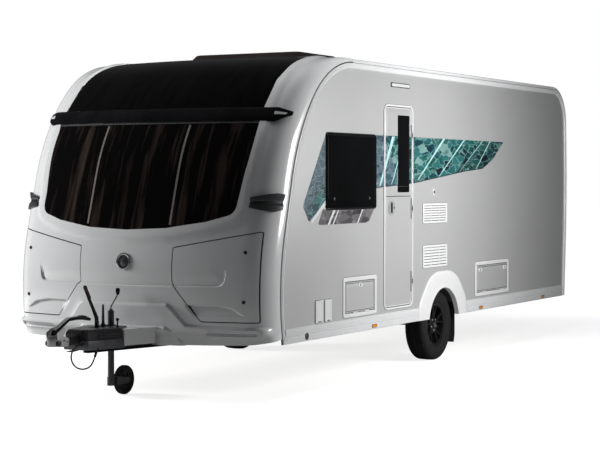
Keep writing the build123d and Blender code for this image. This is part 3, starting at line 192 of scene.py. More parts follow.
def piece(name, verts, faces, material, body="caravan", soft=35.0, bevel=0.0, segments=2):
    """Mesh object riding on a body, shaded smooth up to an angle, its edges bevelled."""
    mesh = bpy.data.meshes.new(name)
    mesh.from_pydata([tuple(v) for v in verts], [], [tuple(f) for f in faces])
    shape = bmesh.new()
    shape.from_mesh(mesh)
    bmesh.ops.remove_doubles(shape, verts=shape.verts, dist=1e-6)
    bmesh.ops.recalc_face_normals(shape, faces=shape.faces)
    shape.to_mesh(mesh)
    shape.free()
    mesh.polygons.foreach_set("use_smooth", [True] * len(mesh.polygons))
    mesh.set_sharp_from_angle(angle=math.radians(soft))
    mesh.materials.append(material)
    made = add_object(name, mesh, body)
    if bevel:
        edge = made.modifiers.new("edge", "BEVEL")
        edge.width = bevel
        edge.segments = segments
        edge.limit_method = "ANGLE"
        edge.angle_limit = math.radians(30)
        edge.harden_normals = True
    return made


def ringed(rings, closed=False):
    """Vertices of rings of equal length and faces between them, the ends capped unless closed."""
    count, size = len(rings), len(rings[0])
    faces = []
    for ring in range(count if closed else count - 1):
        after = (ring + 1) % count
        for index in range(size):
            beside = (index + 1) % size
            faces.append((ring * size + index, ring * size + beside, after * size + beside,
                after * size + index))
    if not closed:
        faces += [tuple(range(size)), tuple(range((count - 1) * size, count * size))]
    return [vert for ring in rings for vert in ring], faces


def swept_band(path, inwards, profile, place):
    """Vertices and faces of a closed (inward, outward) profile carried along a path.

    inwards holds a unit vector for each point, and place turns (point, outward) into 3D.
    """
    return ringed([[place(point + inward * across, out) for across, out in profile]
        for point, inward in zip(path, inwards)])


def inward_normals(path, side):
    """Unit vectors square to a path in its plane, on its left (1) or right (-1)."""
    normals = []
    for index in range(len(path)):
        before, after = path[max(0, index - 1)], path[min(len(path) - 1, index + 1)]
        along = (after - before).normalized()
        normals.append(Vector((-along.y, along.x)) * side)
    return normals


nose_bends = [(-0.075, 0.824, 1.7), (0.224, 1.937, 1.55), (0.721, roof_z, 0.915)]
tail_bends = [(6.031, roof_z, 0.34), (6.095, 1.489, 10.0)]
rail_start, rail_stop = 0.002, 6.022
rail_points = [(behind(rail_start), wall_foot)]
rail_points += [(behind(back), height) for back, height, _ in nose_bends + tail_bends]
rail_points.append((behind(rail_stop), wall_foot))
rail_path = rounded_path(rail_points, [bend[2] for bend in nose_bends + tail_bends], 0.03)
rail_inward = inward_normals(rail_path, -1)
rail_profile = [(0.003, 0), (0.003, 0.011), (0.007, 0.0145), (0.017, 0.015), (0.019, 0.012),
    (0.023, 0.012), (0.025, 0.015), (0.038, 0.0148), (0.044, 0.011), (0.046, 0)]
bead_profile = [(0, -0.004), (0, 0.006), (0.0035, 0.006), (0.0035, -0.004)]
rail_white = surface("rail_white_aluminium", (0.78, 0.785, 0.79), 0.32, scale=12, mottle=0.015,
    bump=0.02, coat=0.2, grain=300)
sealant = surface("dark_sealant", (0.035, 0.037, 0.04), 0.55, scale=60, mottle=0.2, bump=0.3)
for side, end in sides:
    def on_wall(point, out):
        return Vector((side * (wall_x + out), point.x, point.y))
    rail = piece(f"edge_rail_{end}", *swept_band(rail_path, rail_inward, rail_profile, on_wall),
        rail_white, soft=50)
    piece(f"rail_sealant_{end}", *swept_band(rail_path, rail_inward, bead_profile, on_wall),
        sealant, soft=50)
    if side > 0:
        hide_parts("edge_rails")

# ------------------------------------------------------------------ front moulding
# One glass-fibre moulding from the bumper to the roof, pressed with a raised surround to the
# glazing, a step below the surround, a scoop at each foot and a bumper fairing.
nose_half, flank_run = 1.148, 0.006
nose_stations = [(0, 0.335, 0.235), (0.22, 0.362, 0.24), (0.42, 0.35, 0.23), (0.58, 0.3, 0.19),
    (0.73, 0.222, 0.14), (0.87, 0.104, 0.068), (1.0, 0.034, 0.024)]
foot_z = 0.434
foot_share = (foot_z - wall_foot) / (nose_bends[0][1] - wall_foot)
nose_points = [(behind(rail_start + foot_share * (nose_bends[0][0] - rail_start)), foot_z)]
nose_points += [(behind(back), height) for back, height, _ in nose_bends]
nose_points.append((behind(nose_bends[2][0] + nose_bends[2][2] * math.tan(math.radians(25.1))),
    roof_z))
nose_edge = np.array([tuple(p) for p in rounded_path(nose_points, [b[2] for b in nose_bends],
    0.01)])
nose_steps = np.concatenate([[0], np.cumsum(np.hypot(*np.diff(nose_edge, axis=0).T))])
nose_run = nose_steps[-1]


def eased(values, stations):
    """Smooth curve through (share, value) stations, without overshoot."""
    shares, heights = np.array(stations).T
    slopes = np.diff(heights) / np.diff(shares)
    lean = np.zeros(len(shares))
    before, after = slopes[:-1], slopes[1:]
    lean[1:-1] = np.where(before * after > 0, 2 * before * after / (before + after + 1e-12), 0)
    lean[0], lean[-1] = slopes[0], slopes[-1] * 0.6
    cell = np.clip(np.searchsorted(shares, values, side="right") - 1, 0, len(shares) - 2)
    wide = shares[cell + 1] - shares[cell]
    t = (values - shares[cell]) / wide
    return ((2 * t**3 - 3 * t**2 + 1) * heights[cell] + (t**3 - 2 * t**2 + t) * wide * lean[cell]
        + (3 * t**2 - 2 * t**3) * heights[cell + 1] + (t**3 - t**2) * wide * lean[cell + 1])


def nose_section(run):
    """Radii and angles of the cross-section at lengths along the moulding's edge."""
    share = np.clip(run / nose_run, 0, 1)
    bulge = eased(share, [(s, b) for s, b, _ in nose_stations])
    corner = eased(share, [(s, c) for s, _, c in nose_stations])
    depth = bulge - flank_run
    front = (depth**2 - corner**2 + (nose_half - corner)**2) / (2 * (depth - corner))
    turn = np.arctan2((nose_half - corner), (front - depth))
    return bulge, corner, front, turn


def nose_depth_at(x, run):
    """How far the moulding stands out of its edge curve at a distance from the centre."""
    bulge, corner, front, turn = nose_section(run)
    x = np.abs(x)
    on_front = bulge - front + np.sqrt(np.maximum(front**2 - x**2, 0))
    inner = nose_half - corner
    on_corner = flank_run + np.sqrt(np.maximum(corner**2 - (x - inner)**2, 0))
    return np.where(x <= front * np.sin(turn), on_front, on_corner)


def on_edge(run):
    """Point of the edge curve at lengths along it."""
    return np.stack([np.interp(run, nose_steps, nose_edge[:, axis]) for axis in (0, 1)], -1)


def nose_base(x, run):
    """Moulding's plain surface at a distance from the centre and a length along the edge."""
    step = 0.02
    along = on_edge(run + step) - on_edge(run - step)
    along /= np.linalg.norm(along, axis=-1, keepdims=True)
    outward = np.stack([-along[..., 1], along[..., 0]], -1)
    point = on_edge(run) + outward * nose_depth_at(x, run)[..., None]
    return np.concatenate([x[..., None], point], -1)


def run_at_height(x, height):
    """Length along the edge at which the surface is at a height, for a distance x."""
    low, high = np.zeros_like(x), np.full_like(x, nose_run * 0.985)
    for _ in range(40):
        middle = (low + high) / 2
        below = nose_base(x, middle)[..., 2] < height
        low, high = np.where(below, middle, low), np.where(below, high, middle)
    return (low + high) / 2


# Sheet coordinates: across runs evenly over front and corners, along follows the edge.
corner_start, corner_span = 0.93, 0.3


def across_of(x):
    """Sheet coordinate of a distance from the centre."""
    size = np.abs(x)
    swing = np.arcsin(np.clip((size - corner_start) / (nose_half - corner_start), 0, 1))
    beyond = corner_start + corner_span * swing * 2 / math.pi
    return np.sign(x) * np.where(size < corner_start, size, beyond)


def x_of(across):
    """Distance from the centre of a sheet coordinate."""
    size = np.abs(across)
    swing = np.clip((size - corner_start) / corner_span, 0, 1) * math.pi / 2
    beyond = corner_start + (nose_half - corner_start) * np.sin(swing)
    return np.sign(across) * np.where(size < corner_start, size, beyond)


def on_sheet(points):
    """Sheet coordinates of front-view (x, height) points."""
    points = np.array(points, float)
    run = run_at_height(points[:, 0], points[:, 1])
    return np.stack([across_of(points[:, 0]), run], -1)


def densify(points, step=0.02, closed=True):
    """Points with extra ones between, no more than a step apart."""
    dense = []
    count = len(points) if closed else len(points) - 1
    for index in range(count):
        a, b = np.array(points[index]), np.array(points[(index + 1) % len(points)])
        parts = max(1, int(np.linalg.norm(b - a) / step))
        dense += [tuple(a + (b - a) * part / parts) for part in range(parts)]
    if not closed:
        dense.append(tuple(points[-1]))
    return dense


def sheet_loop(points, step=0.02, closed=True):
    """Sheet coordinates of a front-view outline, with points no more than a step apart."""
    return [tuple(p) for p in on_sheet(densify(points, step, closed))]


def round_loop(points, radius):
    """Closed outline with every corner rounded; a radius may be given for each corner."""
    radii = radius if isinstance(radius, (list, tuple)) else [radius] * len(points)
    loop = []
    for index, here in enumerate(points):
        here = Vector(here)
        before, after = Vector(points[index - 1]), Vector(points[(index + 1) % len(points)])
        inward, outward = (before - here).normalized(), (after - here).normalized()
        if radii[index] <= 0:
            loop.append(tuple(here))
            continue
        angle = inward.angle(outward)
        cut = min(radii[index] / math.tan(angle / 2), (before - here).length * 0.49,
            (after - here).length * 0.49)
        for t in np.linspace(0, 1, 7):
            loop.append(tuple(here + inward * cut * (1 - t)**2 + outward * cut * t**2))
    return loop


def line_distance(points, line, closed):
    """Distance of points from a polyline, and on which side of it they lie."""
    best = np.full(len(points), 9.0)
    side = np.zeros(len(points))
    line = np.array(line)
    count = len(line) if closed else len(line) - 1
    for index in range(count):
        a, b = line[index], line[(index + 1) % len(line)]
        along = b - a
        share = np.clip(((points - a) @ along) / (along @ along + 1e-15), 0, 1)
        gap = points - (a + share[:, None] * along)
        size = np.hypot(gap[:, 0], gap[:, 1])
        nearer = size < best - 1e-9
        best = np.where(nearer, size, best)
        cross = along[0] * (points[:, 1] - a[1]) - along[1] * (points[:, 0] - a[0])
        side = np.where(nearer, np.sign(cross), side)
    return best, side


def inside(points, loop):
    """Which points lie inside a closed outline."""
    points, loop = np.array(points), np.array(loop)
    result = np.zeros(len(points), bool)
    for index in range(len(loop)):
        ax, ay = loop[index - 1]
        bx, by = loop[index]
        if ay == by:
            continue
        crosses = (ay > points[:, 1]) != (by > points[:, 1])
        at = (bx - ax) * (points[:, 1] - ay) / (by - ay) + ax
        result ^= crosses & (points[:, 0] < at)
    return result


def smooth_step(value):
    """0 below 0, 1 above 1, eased between."""
    value = np.clip(value, 0, 1)
    return value * value * (3 - 2 * value)


def mirrored(points):
    """The same outline on the other side, in the same turning sense."""
    return [(-x, z) for x, z in reversed(points)]


# Glazed field: front windows, bar and roof pane together, in front view, then over the roof.
field_half, field_head = 0.912, 2.03
field_points = [(field_half, field_head), (0.908, 2.14), (0.902, 2.35)]
low_half = [(0.34, 1.243), (0.66, 1.292), (0.868, 1.352)]
window_low = mirrored(low_half) + [(0, 1.228)] + low_half
pane_head, foot_radius = 2.024, 0.09
window_loop = round_loop(window_low + [(field_half, pane_head), (-field_half, pane_head)],
    [foot_radius, 0, 0, 0, 0, 0, foot_radius, 0.03, 0.03])
pane_run_end = float(np.interp(1.04, nose_edge[:, 0] - seam_y, nose_steps))
field_low = round_loop(window_low + [(field_half, field_head), (-field_half, field_head)],
    [foot_radius, 0, 0, 0, 0, 0, foot_radius, 0, 0])
field_low = [p for p in field_low if p[1] < 2.0]
field_loop = sheet_loop(field_low, 0.05, closed=False)
field_loop += [tuple(p) for p in on_sheet(field_points)]
field_loop += [(0.885, pane_run_end), (-0.885, pane_run_end)]
field_loop += [tuple(p) for p in on_sheet(mirrored(field_points))]


# Pressed lines in front view: the step, the bumper fairing's two steps, the scoop, and the
# recess round a bumper lamp. How far each stands out or lies in follows them.
step_half = [(0.77, 0.82), (0.81, 0.833), (0.83, 0.86), (0.835, 0.89)]
step_line = mirrored(step_half) + [(0, 0.812)] + step_half
fairing_half = [(0.385, 0.695), (0.42, 0.672), (0.53, 0.548), (0.62, 0.538), (1.147, 0.532)]
fairing_line = mirrored(fairing_half) + fairing_half
inner_half = [(0.365, 0.532), (0.4, 0.512), (0.47, 0.42)]
inner_fairing = mirrored(inner_half) + inner_half
scoop_half = [(0.53, 0.69), (0.76, 0.69), (0.89, 0.668), (0.99, 0.606), (0.6, 0.604)]
lamp_recess = [(0.66, 0.457), (1.05, 0.46), (1.075, 0.478), (1.06, 0.506), (0.7, 0.504)]

surround_rise, step_depth, fairing_rise, inner_rise = 0.014, 0.018, 0.024, 0.018
foot_tuck, scoop_depth, lamp_depth, edge_run = 0.04, 0.024, 0.02, 0.012
fairings = [(fairing_line, fairing_rise, 1.15), (inner_fairing, inner_rise, 0.6)]


def relief(view, sheet):
    """How far the pressed forms stand out of the plain surface."""
    height = np.zeros(len(view))
    gap, _ = line_distance(sheet, field_loop, True)
    outside = ~inside(sheet, field_loop)
    ring = smooth_step((0.094 - gap) / 0.046) * surround_rise
    height += np.where(outside, ring, surround_rise)
    x, z = view[:, 0], view[:, 1]
    gap, side = line_distance(view, step_line, False)
    above = (side > 0) & (np.abs(x) < 0.9) & (z > 0.8) & (z < 1.2)
    sunk = smooth_step(gap / 0.01) * np.exp(-gap / 0.1) * (1 - smooth_step((z - 0.84) / 0.2))
    height -= np.where(above, step_depth * sunk, 0)
    fade = 1 - smooth_step((np.abs(x) - 1.09) / 0.05)
    for line, rise, reach in fairings:
        gap, side = line_distance(view, line, False)
        under = (side < 0) & (z < 0.7) & (np.abs(x) < reach)
        height += np.where(under, rise * smooth_step(gap / 0.022) * fade, 0)
    height -= foot_tuck * smooth_step((0.505 - z) / 0.075) * fade
    mirror = np.stack([np.abs(x), z], -1)
    gap, _ = line_distance(mirror, scoop_half, True)
    scoop = inside(mirror, scoop_half)
    deep = smooth_step(gap / edge_run) * (0.3 + 0.7 * smooth_step((z - 0.604) / 0.086))
    height -= np.where(scoop, scoop_depth * deep, 0)
    gap, _ = line_distance(mirror, lamp_recess, True)
    return height - np.where(inside(mirror, lamp_recess), lamp_depth * smooth_step(gap / edge_run),
        0)


def nose_surface(sheet, lift=0.0, pressed=True):
    """Points of the finished moulding at sheet coordinates."""
    sheet = np.array(sheet, float)
    across, run = sheet.T
    x, step = x_of(across), 0.004
    base = nose_base(x, run)
    aside = nose_base(x_of(across + step), run) - nose_base(x_of(across - step), run)
    ahead = nose_base(x, run + step) - nose_base(x, run - step)
    normal = np.cross(aside, ahead)
    normal /= np.maximum(np.linalg.norm(normal, axis=1, keepdims=True), 1e-12)
    rise = np.full(len(sheet), float(lift))
    if pressed:
        rise += relief(base[:, [0, 2]], sheet)
    return base + normal * rise[:, None], normal


def sheet_points(loops, spacing, lines=()):
    """Grid points inside the outlines, denser along pressed lines."""
    outer = np.array(loops[0])
    low, high = outer.min(0), outer.max(0)
    ticks = [np.linspace(start, stop, max(2, int((stop - start) / spacing)) + 1)
        for start, stop in zip(low, high)]
    grid = np.stack(np.meshgrid(*ticks), -1).reshape(-1, 2)
    for line, offsets, closed in lines:
        dense = np.array(sheet_loop(line, 0.016, closed))
        ahead = np.roll(dense, -1, 0) - np.roll(dense, 1, 0)
        if not closed:
            ahead[0], ahead[-1] = dense[1] - dense[0], dense[-1] - dense[-2]
        ahead /= np.linalg.norm(ahead, axis=1, keepdims=True) + 1e-12
        normal = np.stack([-ahead[:, 1], ahead[:, 0]], -1)
        gap, _ = line_distance(grid, dense, closed)
        grid = grid[gap > max(abs(o) for o in offsets) + spacing * 0.2]
        grid = np.concatenate([grid] + [dense + normal * offset for offset in offsets])
    keep = inside(grid, loops[0])
    for loop in loops[1:]:
        keep &= ~inside(grid, loop)
    for loop in loops:
        gap, _ = line_distance(grid, loop, True)
        keep &= gap > spacing * 0.3
    return grid[keep]


def sheet_faces(loops, points):
    """Triangles over the points and outlines."""
    verts = [Vector(tuple(p)) for p in points]
    edges = []
    for loop in loops:
        first = len(verts)
        verts += [Vector(tuple(p)) for p in loop]
        edges += [(first + i, first + (i + 1) % len(loop)) for i in range(len(loop))]
    out_verts, _, out_faces, _, _, _ = delaunay_2d_cdt(verts, edges, [], 0, 1e-6)
    flat = np.array([tuple(v) for v in out_verts])
    faces = np.array([f for f in out_faces if len(f) == 3])
    middle = flat[faces].mean(1)
    keep = inside(middle, loops[0])
    for loop in loops[1:]:
        keep &= ~inside(middle, loop)
    return flat, faces[keep]


def shell(name, loops, material, place, spacing=0.03, thick=0.005, lines=(), body="caravan"):
    """Closed shell with rounded-over edges: outer skin from place(), inner skin beneath it."""
    flat, faces = sheet_faces(loops, sheet_points(loops, spacing, lines))
    outer, normal = place(flat)
    inner = outer - normal * thick
    count = len(flat)
    edges = {pair: None for a, b, c in faces for pair in ((a, b), (b, c), (c, a))}
    polygons = [tuple(f) for f in faces]
    polygons += [(c + count, b + count, a + count) for a, b, c in faces]
    polygons += [(b, a, a + count, b + count) for a, b in edges if (b, a) not in edges]
    mesh = bpy.data.meshes.new(name)
    mesh.from_pydata([tuple(v) for v in np.concatenate([outer, inner])], [], polygons)
    mesh.polygons.foreach_set("use_smooth", [True] * len(mesh.polygons))
    mesh.update()
    ahead, _ = place(flat + np.array([0.002, 0.0]))
    aside, _ = place(flat + np.array([0.0, 0.002]))
    shaded = np.cross(ahead - outer, aside - outer)
    shaded /= np.maximum(np.linalg.norm(shaded, axis=1, keepdims=True), 1e-12)
    weak = (shaded * normal).sum(1) < 0.2
    shaded[weak] = normal[weak]
    split = []
    for polygon in mesh.polygons:
        if polygon.index < len(faces):
            split += [tuple(shaded[v]) for v in polygon.vertices]
        elif polygon.index < 2 * len(faces):
            split += [tuple(-normal[v - count]) for v in polygon.vertices]
        else:
            split += [tuple(polygon.normal)] * polygon.loop_total
    mesh.normals_split_custom_set(split)
    mesh.materials.append(material)
    return add_object(name, mesh, body)


locker_points = [(0.41, 1.108), (0.41, 0.84), (0.64, 0.56), (1.08, 0.56), (1.08, 1.23)]
locker_gap = 0.008
locker_near_loop = densify(round_loop(locker_points, [0.02, 0.05, 0.04, 0.02, 0.02]), 0.02)


def shrunk(loop, amount):
    """Closed outline moved inwards, or outwards for a negative amount."""
    loop = np.array(loop)
    ahead = np.roll(loop, -1, 0) - np.roll(loop, 1, 0)
    ahead /= np.linalg.norm(ahead, axis=1, keepdims=True) + 1e-12
    turn = np.sign(sum(loop[i - 1][0] * loop[i][1] - loop[i][0] * loop[i - 1][1]
        for i in range(len(loop))))
    return loop + np.stack([-ahead[:, 1], ahead[:, 0]], -1) * amount * turn


fairing_offsets = (-0.024, -0.018, -0.01, -0.004, 0)
scoop_offsets = (-0.014, -0.008, -0.002, 0.003)
lamp_offsets = (0.014, 0.008, 0.002, -0.003)
pressed_lines = [(step_line, (-0.01, -0.003, 0.003, 0.01, 0.022, 0.045), False),
    (fairing_line, fairing_offsets, False), (inner_fairing, fairing_offsets, False),
    (scoop_half, scoop_offsets, True), (mirrored(scoop_half), scoop_offsets, True),
    (lamp_recess, lamp_offsets, True), (mirrored(lamp_recess), lamp_offsets, True)]
edge_across = corner_start + corner_span
upper_loop = densify([(-edge_across, nose_run), (edge_across, nose_run), (edge_across, 0),
    (-edge_across, 0)], 0.03)
locker_loops = {"near": locker_near_loop, "off": mirrored(locker_near_loop)}
door_holes = [[tuple(p) for p in on_sheet(loop)] for loop in locker_loops.values()]
front_shell = shell("front_moulding_shell", [upper_loop, field_loop] + door_holes, gelcoat,
    nose_surface, spacing=0.021, thick=0.006, lines=pressed_lines)
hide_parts("front_moulding")

# ------------------------------------------------------------------ locker doors
# Two flush glass-fibre doors cut from the same pressing, so step and scoop run across them.
# Each hangs on its inner edge and shuts with two small barrel locks.
steel_bright = surface("bright_steel", (0.62, 0.62, 0.61), 0.22, scale=50, mottle=0.1, metal=1.0,
    bump=0.03)
black_gloss = surface("black_gloss_plastic", (0.008, 0.008, 0.009), 0.14, scale=8, mottle=0.3,
    bump=0.01, rough_range=0.04, shine=0.2)
black_matt = surface("black_grained_plastic", (0.025, 0.025, 0.027), 0.5, scale=20, mottle=0.2,
    bump=0.35, grain=420)


def turned(name, profile, centre, axis, material, body="caravan", segments=48, soft=35.0):
    """Piece of revolution: (radius, along) pairs turned about an axis through a centre."""
    axis = Vector(axis).normalized()
    side = axis.orthogonal().normalized()
    other = axis.cross(side)
    verts, faces = [], []
    size = len(profile)
    for step in range(segments):
        angle = 2 * math.pi * step / segments
        out = side * math.cos(angle) + other * math.sin(angle)
        verts += [Vector(centre) + axis * along + out * radius for radius, along in profile]
    for step in range(segments):
        after = (step + 1) % segments
        for index in range(size - 1):
            faces.append((step * size + index, after * size + index, after * size + index + 1,
                step * size + index + 1))
    return piece(name, verts, faces, material, body, soft)


def both_ways(half):
    """Profile of (radius, along) pairs carried on through its mirror image."""
    return half + [(radius, -along) for radius, along in reversed(half)]


def nose_spot(x, height, lift=0.0):
    """Point and outward direction on the finished front moulding."""
    point, normal = nose_surface(on_sheet([(x, height)]), lift)
    return Vector(point[0]), Vector(normal[0])


for side, end in sides:
    door_loop = [tuple(p) for p in on_sheet(shrunk(locker_loops[end], locker_gap))]
    door = shell(f"locker_door_skin_{end}", [door_loop], gelcoat, nose_surface, spacing=0.03,
        thick=0.012, lines=[pressed_lines[0], pressed_lines[3 if side > 0 else 4]],
        body=f"locker_door_{end}")
    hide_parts(f"locker_door_{end}")
    for row, height in enumerate((1.075, 0.715)):
        spot, out = nose_spot(side * 0.975, height)
        turned(f"locker_lock_{end}_{row + 1}", [(0, 0.006), (0.006, 0.006), (0.0065, 0.0045),
            (0.012, 0.0045), (0.0135, 0.002), (0.0135, -0.004), (0, -0.004)], spot, out,
            black_matt, f"locker_door_{end}", 28)

# Dark seal behind the gap round each door.
seal_rubber = surface("seal_rubber", (0.02, 0.02, 0.021), 0.7, scale=40, mottle=0.2, bump=0.3)
for end, loop in locker_loops.items():
    seal_loops = [[tuple(p) for p in on_sheet(shrunk(loop, inset))] for inset in (-0.012, 0.016)]
    shell(f"locker_seal_{end}", seal_loops, seal_rubber, lambda sheet: nose_surface(sheet,
        -0.0185), spacing=0.03, thick=0.004)

# ------------------------------------------------------------------ front glazing
# Three dark tinted acrylic panes, a gloss-black bar with marker lamps in its ends, and the
# dark pane that runs up over the roof. All sit in the pressed surround on black bedding.
tinted = surface("tinted_acrylic", (0.004, 0.0035, 0.0035), 0.08, scale=3, mottle=0.35,
    stretch=(6, 1, 0.5), bump=0.004, rough_range=0.02, grain=40, shine=0.12)


def curtain_tint(name):
    """Tinted acrylic with the dim folds of closed curtains showing through it."""
    material = tinted.copy()
    material.name = name
    tree = material.node_tree
    place = add_node(tree, "Mapping", {"Vector": add_node(tree, "TexCoord")["Object"],
        "Scale": (16.0, 2.0, 0.9)})
    folds = add_node(tree, "TexNoise", {"Vector": place["Vector"], "Scale": 1.0, "Detail": 6.0,
        "Roughness": 0.6})
    feed(tree, tree.nodes["Principled BSDF"],
        {"Base Color": add_ramp(tree, [(0.52, (0.004, 0.0035, 0.0035)),
        (0.78, (0.07, 0.05, 0.042))], folds["Fac"])})
    return material


def on_nose(lift):
    """Place function for a shell that stands off the moulding's plain surface."""
    return lambda sheet: nose_surface(sheet, lift, False)


front_tint = curtain_tint("front_pane_acrylic")
pane_joint, pane_gap = 0.37, 0.006
# Each pane: the x of its two lower corners, then of its two upper ones.
joint_in, joint_out = pane_joint - pane_gap, pane_joint + pane_gap
pane_cuts = [(-0.864, -joint_out, -0.908, -joint_out), (-joint_in, joint_in, -joint_in, joint_in),
    (joint_out, 0.864, joint_out, 0.908)]
foot_corners = {1: 0, 3: 10}
for number, (low_x, high_x, low_top, high_top) in enumerate(pane_cuts, 1):
    foot = [low_x + (high_x - low_x) * i / 10 for i in range(11)]
    corners = [(x, float(np.interp(x, *np.array(window_low).T))) for x in foot]
    corners += [(high_top, pane_head), (low_top, pane_head)]
    radii = [0.0] * 11 + [0.012, 0.012]
    if number in foot_corners:
        radii[foot_corners[number]] = 0.085
    pane = shell(f"front_pane_{number}", [sheet_loop(round_loop(corners, radii), 0.04)],
        front_tint, on_nose(0.008), spacing=0.06, thick=0.01)
    if number == 1:
        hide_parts("front_window")
backing_loop = sheet_loop(shrunk(densify(window_loop, 0.04), -0.01), 0.04)
shell("front_window_bedding", [backing_loop], black_gloss, on_nose(0.0045), spacing=0.06,
    thick=0.008)
pillar_trim = surface("pillar_trim", (0.24, 0.22, 0.21), 0.3, scale=30, mottle=0.15, bump=0.05)
pillar = [(-0.008, 1.27), (0.008, 1.27), (0.008, 2.01), (-0.008, 2.01)]
for side, end in sides:
    line = on_sheet([(side * (pane_joint + half), z) for half, z in pillar])
    shell(f"pane_pillar_{end}", [densify(line, 0.05)], pillar_trim, on_nose(0.011), spacing=0.05,
        thick=0.006)

# Bar: bulges out of the panel at its middle height and ends in pointed lamp pods.
bar_low, bar_high, bar_half = 2.03, 2.14, 1.108


def bar_place(sheet):
    """Bar surface: a rounded swell between its lower and upper edges."""
    sheet = np.array(sheet)
    point, normal = nose_surface(sheet, 0, False)
    share = np.clip((point[:, 2] - bar_low) / (bar_high - bar_low), 0, 1)
    swell = 0.01 + 0.016 * np.sqrt(np.clip(1 - (2 * share - 1)**2, 0, 1))
    swell *= 1 - 0.45 * smooth_step((np.abs(point[:, 0]) - 0.93) / 0.2)
    return point + normal * swell[:, None], normal


bar_near = [(0.93, bar_low), (1.02, bar_low + 0.004), (bar_half, bar_low + 0.05),
    (bar_half, bar_low + 0.075), (1.02, bar_high - 0.004), (0.93, bar_high)]
bar_outline = bar_near + mirrored(bar_near)
bar_outline = bar_outline[-1:] + bar_outline[:-1]
bar = shell("front_bar_shell", [sheet_loop(bar_outline, 0.03)], black_gloss, bar_place,
    spacing=0.014, thick=0.012)
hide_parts("front_bar")
lens_clear = surface("marker_lens", (0.75, 0.76, 0.76), 0.08, scale=90, mottle=0.1, bump=0.3,
    coat=0.8)
lens_near = [(1.005, 2.078), (1.075, 2.082), (1.08, 2.094), (1.005, 2.1)]


def lens_place(sheet):
    """Surface of a marker lamp's lens, just proud of the bar."""
    point, normal = bar_place(sheet)
    return point + normal * 0.0035, normal


def on_end(side, points):
    """Near-side outline carried to one end of the front."""
    return points if side > 0 else mirrored(points)


for side, end in sides:
    shell(f"marker_lamp_{end}", [sheet_loop(on_end(side, lens_near), 0.01)], lens_clear,
        lens_place, spacing=0.01, thick=0.005)

# Thin grey line of trim between the panes and the bar.
bar_trim_grey = surface("bar_trim_grey", (0.1, 0.1, 0.105), 0.25, scale=30, mottle=0.2, bump=0.05)
strip_loop = sheet_loop([(-field_half, 2.022), (field_half, 2.022), (0.911, 2.034),
    (-0.911, 2.034)], 0.05)
shell("bar_lower_trim", [strip_loop], bar_trim_grey, on_nose(0.01), spacing=0.02, thick=0.006)

# Roof pane.
pane_low = [(x, bar_high - 0.012) for x in np.linspace(-0.905, 0.905, 30)]
roof_pane_loop = [tuple(p) for p in on_sheet(pane_low)]
roof_pane_loop += [tuple(p) for p in on_sheet([(0.903, 2.35)])]
roof_pane_loop += [(x, pane_run_end - 0.004) for x in np.linspace(0.88, -0.88, 24)]
roof_pane_loop += [tuple(p) for p in on_sheet([(-0.903, 2.35)])]
roof_glass = shell("roof_pane_glass", [densify(roof_pane_loop, 0.05)], tinted, on_nose(0.005),
    spacing=0.05, thick=0.008)
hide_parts("roof_pane")

# ------------------------------------------------------------------ front fittings
# Corner grab handles of dark grey moulded plastic, a plain round disc of bright metal on the
# middle of the panel, and small lamps let into the bumper.
handle_grey = surface("handle_grey_plastic", (0.045, 0.047, 0.05), 0.38, scale=25, mottle=0.12,
    bump=0.12)
handle_near = [(0.962, 1.398), (1.11, 1.366), (1.1385, 1.38), (1.1385, 1.496), (1.11, 1.502),
    (0.962, 1.47)]
handle_slot_shade_near = [(0.985, 1.426), (1.132, 1.421), (1.132, 1.447), (0.985, 1.447)]


def handle_place(sheet):
    """Face of a grab handle: swelling at its edges, hollow along its middle."""
    point, normal = nose_surface(sheet, 0, False)
    share = np.clip((point[:, 2] - 1.37) / 0.13, 0, 1)
    swell = 0.02 - 0.016 * np.exp(-((share - 0.52) / 0.13)**2)
    swell += 0.006 * smooth_step((share - 0.75) / 0.2)
    return point + normal * swell[:, None], normal


for side, end in sides:
    handle = shell(f"grab_handle_{end}", [sheet_loop(on_end(side, handle_near), 0.012)],
        handle_grey, handle_place, spacing=0.008, thick=0.018)
    if side > 0:
        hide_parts("grab_handles")
    # The black strip in each handle's hollow is painted shade of its hand slot.
    shell(f"grab_handle_slot_shade_{end}", [sheet_loop(on_end(side, handle_slot_shade_near), 0.01)],
        black_matt, on_nose(0.0085), spacing=0.01, thick=0.006)

disc_spot, disc_out = nose_spot(0, 0.995, -0.002)
disc_dark = surface("disc_dark_enamel", (0.06, 0.065, 0.07), 0.2, scale=60, mottle=0.3, bump=0.1,
    coat=0.5)
turned("front_disc_rim", [(0.046, 0.004), (0.049, 0.009), (0.056, 0.011), (0.063, 0.008),
    (0.065, 0), (0.046, 0), (0.046, 0.004)], disc_spot, disc_out, steel_bright, segments=64)
turned("front_disc_face", [(0, 0.0075), (0.018, 0.0075), (0.021, 0.0055), (0.047, 0.0045),
    (0.047, 0), (0, 0)], disc_spot, disc_out, disc_dark, segments=64)

lamp_clear = surface("front_lamp_lens", (0.42, 0.44, 0.47), 0.1, scale=120, mottle=0.2, bump=0.4,
    coat=0.8)
lamp_near = shrunk(densify(round_loop(lamp_recess, 0.012), 0.02), 0.014)
for side, end in sides:
    lamp_loop = [tuple(p) for p in on_sheet(on_end(side, lamp_near))]
    shell(f"front_lamp_{end}", [lamp_loop], lamp_clear, on_nose(-0.006), spacing=0.02, thick=0.006)

